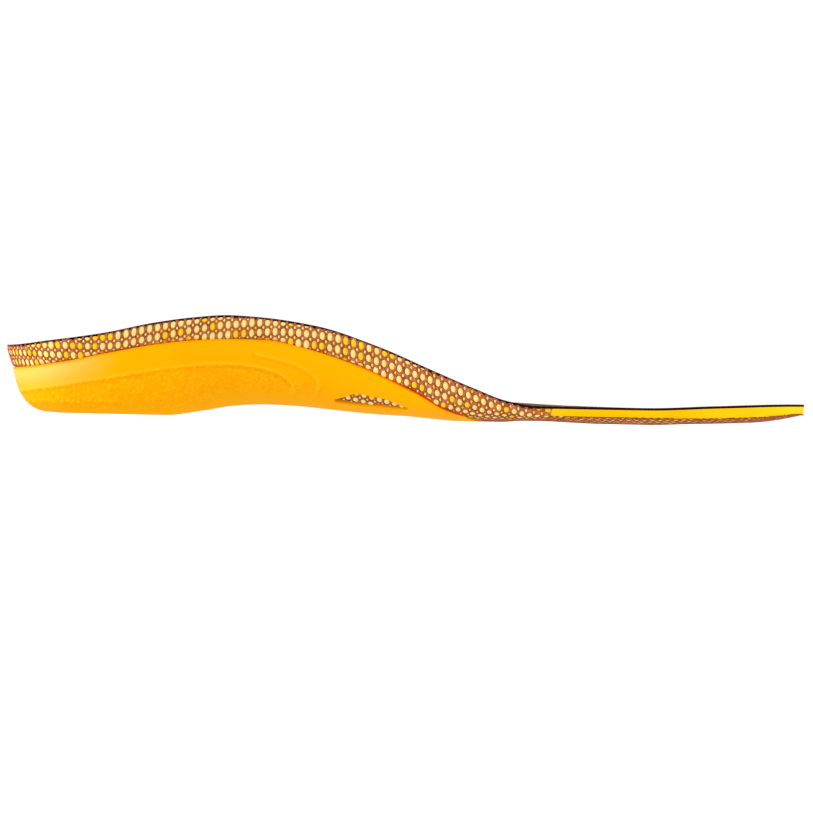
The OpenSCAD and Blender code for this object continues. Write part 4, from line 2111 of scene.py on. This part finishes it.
@dataclass
class StabilizerCap(CapShell):
    """The moulded cap, with raised contours round a pebbled panel on each side."""

    name: str = "stabilizer_cap"
    depth: float = 0.0
    spacing: float = 0.64
    rows: int = 62
    crowding: float = 1.25
    wall: float = 1.6
    edge_share: float = 0.375
    bevel: float = 0.22
    step: float = 0.16
    step_run: float = 0.8
    ridge: float = 0.26
    ridge_width: float = 0.4
    pebble: float = 0.16
    pebble_size: float = 1.7
    shade_gap: float = 1.1
    shade_width: float = 0.6
    # How strongly highlight and shade are painted on the ridges, under them and on the pebbles.
    ridge_highlight: float = 0.32
    shade_tone: float = 0.26
    pebble_light_shade: float = 0.42
    pebble_mean: float = 0.52
    panel_points: int = 8
    panel_back: float = -136.0
    panel_front: float = -30.5
    panel_foot: float = 1.2
    step_end: float = -39.0
    # Where the painted highlight of the heel band fades out towards the arch.
    highlight_end: float = -124.0
    highlight_run: float = 26.0
    heart: tuple[float, float, float] = (-60.0, 0.0, 15.0)
    main_line: Contour = Contour(((-136, 7.4), (-132, 8.1), (-107, 12.2), (-79, 17.1), (-62, 18.5),
                                  (-51, 17.5), (-44.4, 15.6), (-40.2, 13), (-39, 10.3), (-40, 6.3), (-44, 2)))
    front_line: Contour = Contour(((-52, 22), (-44, 20.4), (-38, 18.6), (-32.7, 15.7), (-29.8, 12.1),
                                   (-31.9, 7.1), (-35, 3)), 0.75)
    foot_line: Contour = Contour(((-136, 4.3), (-120, 4.2), (-100, 4.6)), 0.5)

    def _pebbles(self, place: Array, wanted: Array) -> Array:
        """Returns the height of rounded pebbles, 0 in the grooves between them and 1 on top.

        Args:
            place: Points in millimetres.
            wanted: Share of the panel at each point.
        """
        height = np.zeros(len(place))
        for i in np.nonzero(wanted > 0.02)[0]:
            near = noise.voronoi(Vector(place[i] / self.pebble_size))[0]
            height[i] = min(1.0, (near[1] - near[0]) * 2.2)
        return height

    def _lines(self, along: Array, up: Array) -> tuple[Array, Array]:
        """Reckons how far the contours stand out, and the shade right below them.

        Args:
            along: Places along the insole.
            up: Heights, as they would be on the inner side.

        Returns:
            Shares of the full ridge and of the full shade.
        """
        ridge, shade = np.zeros(len(along)), np.zeros(len(along))
        for line in (self.main_line, self.front_line, self.foot_line):
            gap, below = line.gap(along, up)
            ridge = np.maximum(ridge, line.strength * np.exp(-(gap / self.ridge_width)**2))
            under = ease(below / self.ridge_width) * np.exp(-((gap - self.shade_gap) / self.shade_width)**2)
            shade = np.maximum(shade, line.strength * under)
        return ridge, shade

    def _panel(self, along: Array, up: Array) -> tuple[Array, Array]:
        """Reckons where the pebbled panel lies.

        Args:
            along: Places along the insole.
            up: Heights, as they would be on the inner side.

        Returns:
            1 on the panel and 0 off it, and the distance down from the panel's top.
        """
        top_line = np.array(self.main_line.points[:self.panel_points])
        below = np.interp(along, top_line[:, 0], top_line[:, 1]) - up
        ends = ease((along - self.panel_back) / 3) * ease((self.panel_front - along) / 2)
        return ease(below / self.step_run) * ends * ease((up - self.panel_foot) / 1.5), below

    def _relief(self, obj: Piece) -> None:
        """Moulds the contours and the panel, marks the pebbled panel, and marks where highlights and shade
        are painted.

        Args:
            obj: The cap's outer face.
        """
        place = places(obj) / MM
        normal = np.empty(place.size)
        obj.data.vertices.foreach_get("normal", normal)
        normal = normal.reshape(-1, 3)
        inward = ((place - np.array(self.heart)) * normal).sum(axis=1) < 0
        outward = np.where(inward[:, None], -normal, normal)
        edge = tints(obj, "edge_distance")
        x, z = place[:, 0], place[:, 2]
        up = z * FORM.inner_cap_edge.at(x) / FORM.sided(FORM.inner_cap_edge, FORM.outer_cap_edge, place)
        on_side = ease(edge - 1) * ease((1 - np.abs(normal[:, 2])) / 0.25)
        ridge, shade = (share * on_side for share in self._lines(x, up))
        panel, below = self._panel(x, up)
        panel = panel * on_side
        pebbles = self._pebbles(place, panel)
        sunk = self.step * (x < self.step_end)
        rise = ridge * self.ridge + panel * (pebbles * self.pebble - sunk)
        put(obj, (place + outward * rise[:, None]) * MM)
        # Painted highlight on the ridges and pebble tops, painted shade under the ridges and between the
        # pebbles.
        pebbled = panel * (pebbles - self.pebble_mean)
        tone = 0.5 + self.ridge_highlight * ridge - self.shade_tone * shade + self.pebble_light_shade * pebbled
        # Painted highlight on the upper band round the heel, fading down the side and towards the arch.
        heel = 1 - ease((x - self.highlight_end) / self.highlight_run)
        faded = ease(edge / 1.2) * (1 - 0.7 * ease((edge - 1.5) / 7))
        tint(obj, "pebble_panel", panel)
        tint(obj, "relief_painted_light", np.clip(tone, 0, 1))
        tint(obj, "painted_heel_highlight", ease(0.6 - below / 3) * heel * faded * ease((z - 6) / 4))
        # Painted shade in the crease along the cap's free edge, stronger towards the front.
        tint(obj, "painted_edge_shade", (1 - ease(edge)) * (0.3 + 0.7 * ease((x + 25) / 25)))

    def fit(self, plastic: bpy.types.Material) -> Piece:
        """Builds, dresses and mounts the cap.

        Args:
            plastic: The cap's material.

        Returns:
            The finished piece.
        """
        obj = self.build()
        dress(obj, plastic)
        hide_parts("stabilizer_cap")
        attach(obj, "rear")
        return obj


@dataclass
class CapCement(CapShell):
    """Thin cement between the cap and the net."""

    name: str = "cap_bond"
    depth: float = 1.63
    tongue_inset: float = 6.0
    spacing: float = 2.4
    rows: int = 18
    wall: float = 0.1
    edge_share: float = 1.0
    corner: float = 1.9

    def fit(self, film: bpy.types.Material) -> Piece:
        """Builds, dresses and mounts the cement.

        Args:
            film: The cement's material.

        Returns:
            The finished piece.
        """
        obj = self.build()
        dress(obj, film)
        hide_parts("cap_bond")
        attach(obj, "rear")
        return obj


# ----------------------------------------------------------------- studio


@dataclass(frozen=True)
class Lamp:
    """A square soft light that looks at the insole."""

    name: str
    place: tuple[float, float, float]
    size: float
    power: float


@dataclass(frozen=True)
class Studio:
    """White paper floor, even light and the camera at the insole's inner side."""

    distance: float = 4.0
    frame_width: float = 0.2857
    roll: float = -1.2
    aim_height: float = 0.0048
    aim_along: float = 0.0008
    sensor: float = 36.0
    world_light: float = 1.03
    lamps: tuple[Lamp, ...] = (Lamp("heel_light", (-1.5, -0.55, 0.5), 1.0, 23.0),
                               Lamp("toe_light", (1.6, -0.2, 0.4), 1.0, 21.0),
                               Lamp("top_light", (0.0, 0.2, 1.6), 1.6, 3.0))

    def paper(self, material: bpy.types.Material) -> None:
        """Lays the floor.

        Args:
            material: The paper's material.
        """
        look_away()
        bpy.ops.mesh.primitive_plane_add(size=6, location=(0, 0, -0.0004))
        floor = bpy.context.object
        floor.name = "floor"
        edit(floor, lambda: bpy.ops.mesh.subdivide(number_cuts=11))
        floor.data.materials.append(material)
        floor.visible_shadow = floor.visible_diffuse = floor.visible_glossy = False

    def lights(self) -> None:
        """Sets the even studio light."""
        world = bpy.data.worlds.new("studio")
        bpy.context.scene.world = world
        world.use_nodes = True
        back = world.node_tree.nodes["Background"]
        back.inputs[0].default_value = (1, 1, 1, 1)
        back.inputs[1].default_value = self.world_light
        for lamp in self.lamps:
            look_away()
            bpy.ops.object.light_add(type="AREA", location=lamp.place)
            light = bpy.context.object
            light.name = lamp.name
            light.data.size = lamp.size
            light.data.energy = lamp.power
            light.rotation_euler = (-Vector(lamp.place)).to_track_quat("-Z", "Y").to_euler()

    def camera(self) -> None:
        """Sets the camera level with the insole, on its inner side."""
        look_away()
        bpy.ops.object.camera_add(location=(self.aim_along, -self.distance, self.aim_height))
        camera = bpy.context.object
        camera.rotation_euler = (math.radians(90), math.radians(self.roll), 0)
        camera.data.sensor_width = self.sensor
        camera.data.lens = self.sensor * self.distance / self.frame_width
        camera.data.clip_end = 50
        bpy.context.scene.camera = camera

    def build(self, material: bpy.types.Material) -> None:
        """Builds the whole studio.

        Args:
            material: The paper's material.
        """
        self.camera()
        self.paper(material)
        self.lights()
        bpy.context.scene.view_settings.view_transform = "Standard"


def main() -> None:
    """Builds the studio and every piece of the insole."""
    logging.basicConfig(level=logging.INFO, format="%(name)s: %(message)s")
    shared = SharedEffects(mottle_group(), grain_group(), knit_group())
    Studio().build(StudioFinish().make(shared))
    film = BondFilmFinish().make(shared)
    edge_cloth = CoverCloth(dark=(0.006, 0.0, 0.0), light=(0.030, 0.004, 0.001), fuzz=0.0,
                            name="cover_cut_edge")
    TopCover().fit(CoverCloth().make(shared), edge_cloth.make(shared))
    CoverFilm().fit(film)
    net, frames, sizes = NetSkin(NetLattice()).fit(NetFinish().make(shared))
    FoamBody().fit(FoamFinish().make(shared), frames, sizes)
    CapCement().fit(film)
    StabilizerCap().fit(CapFinish().make(shared))
    log.info("%s follows the net's %d holes", net.name, len(frames))


if __name__ == "__main__":
    main()
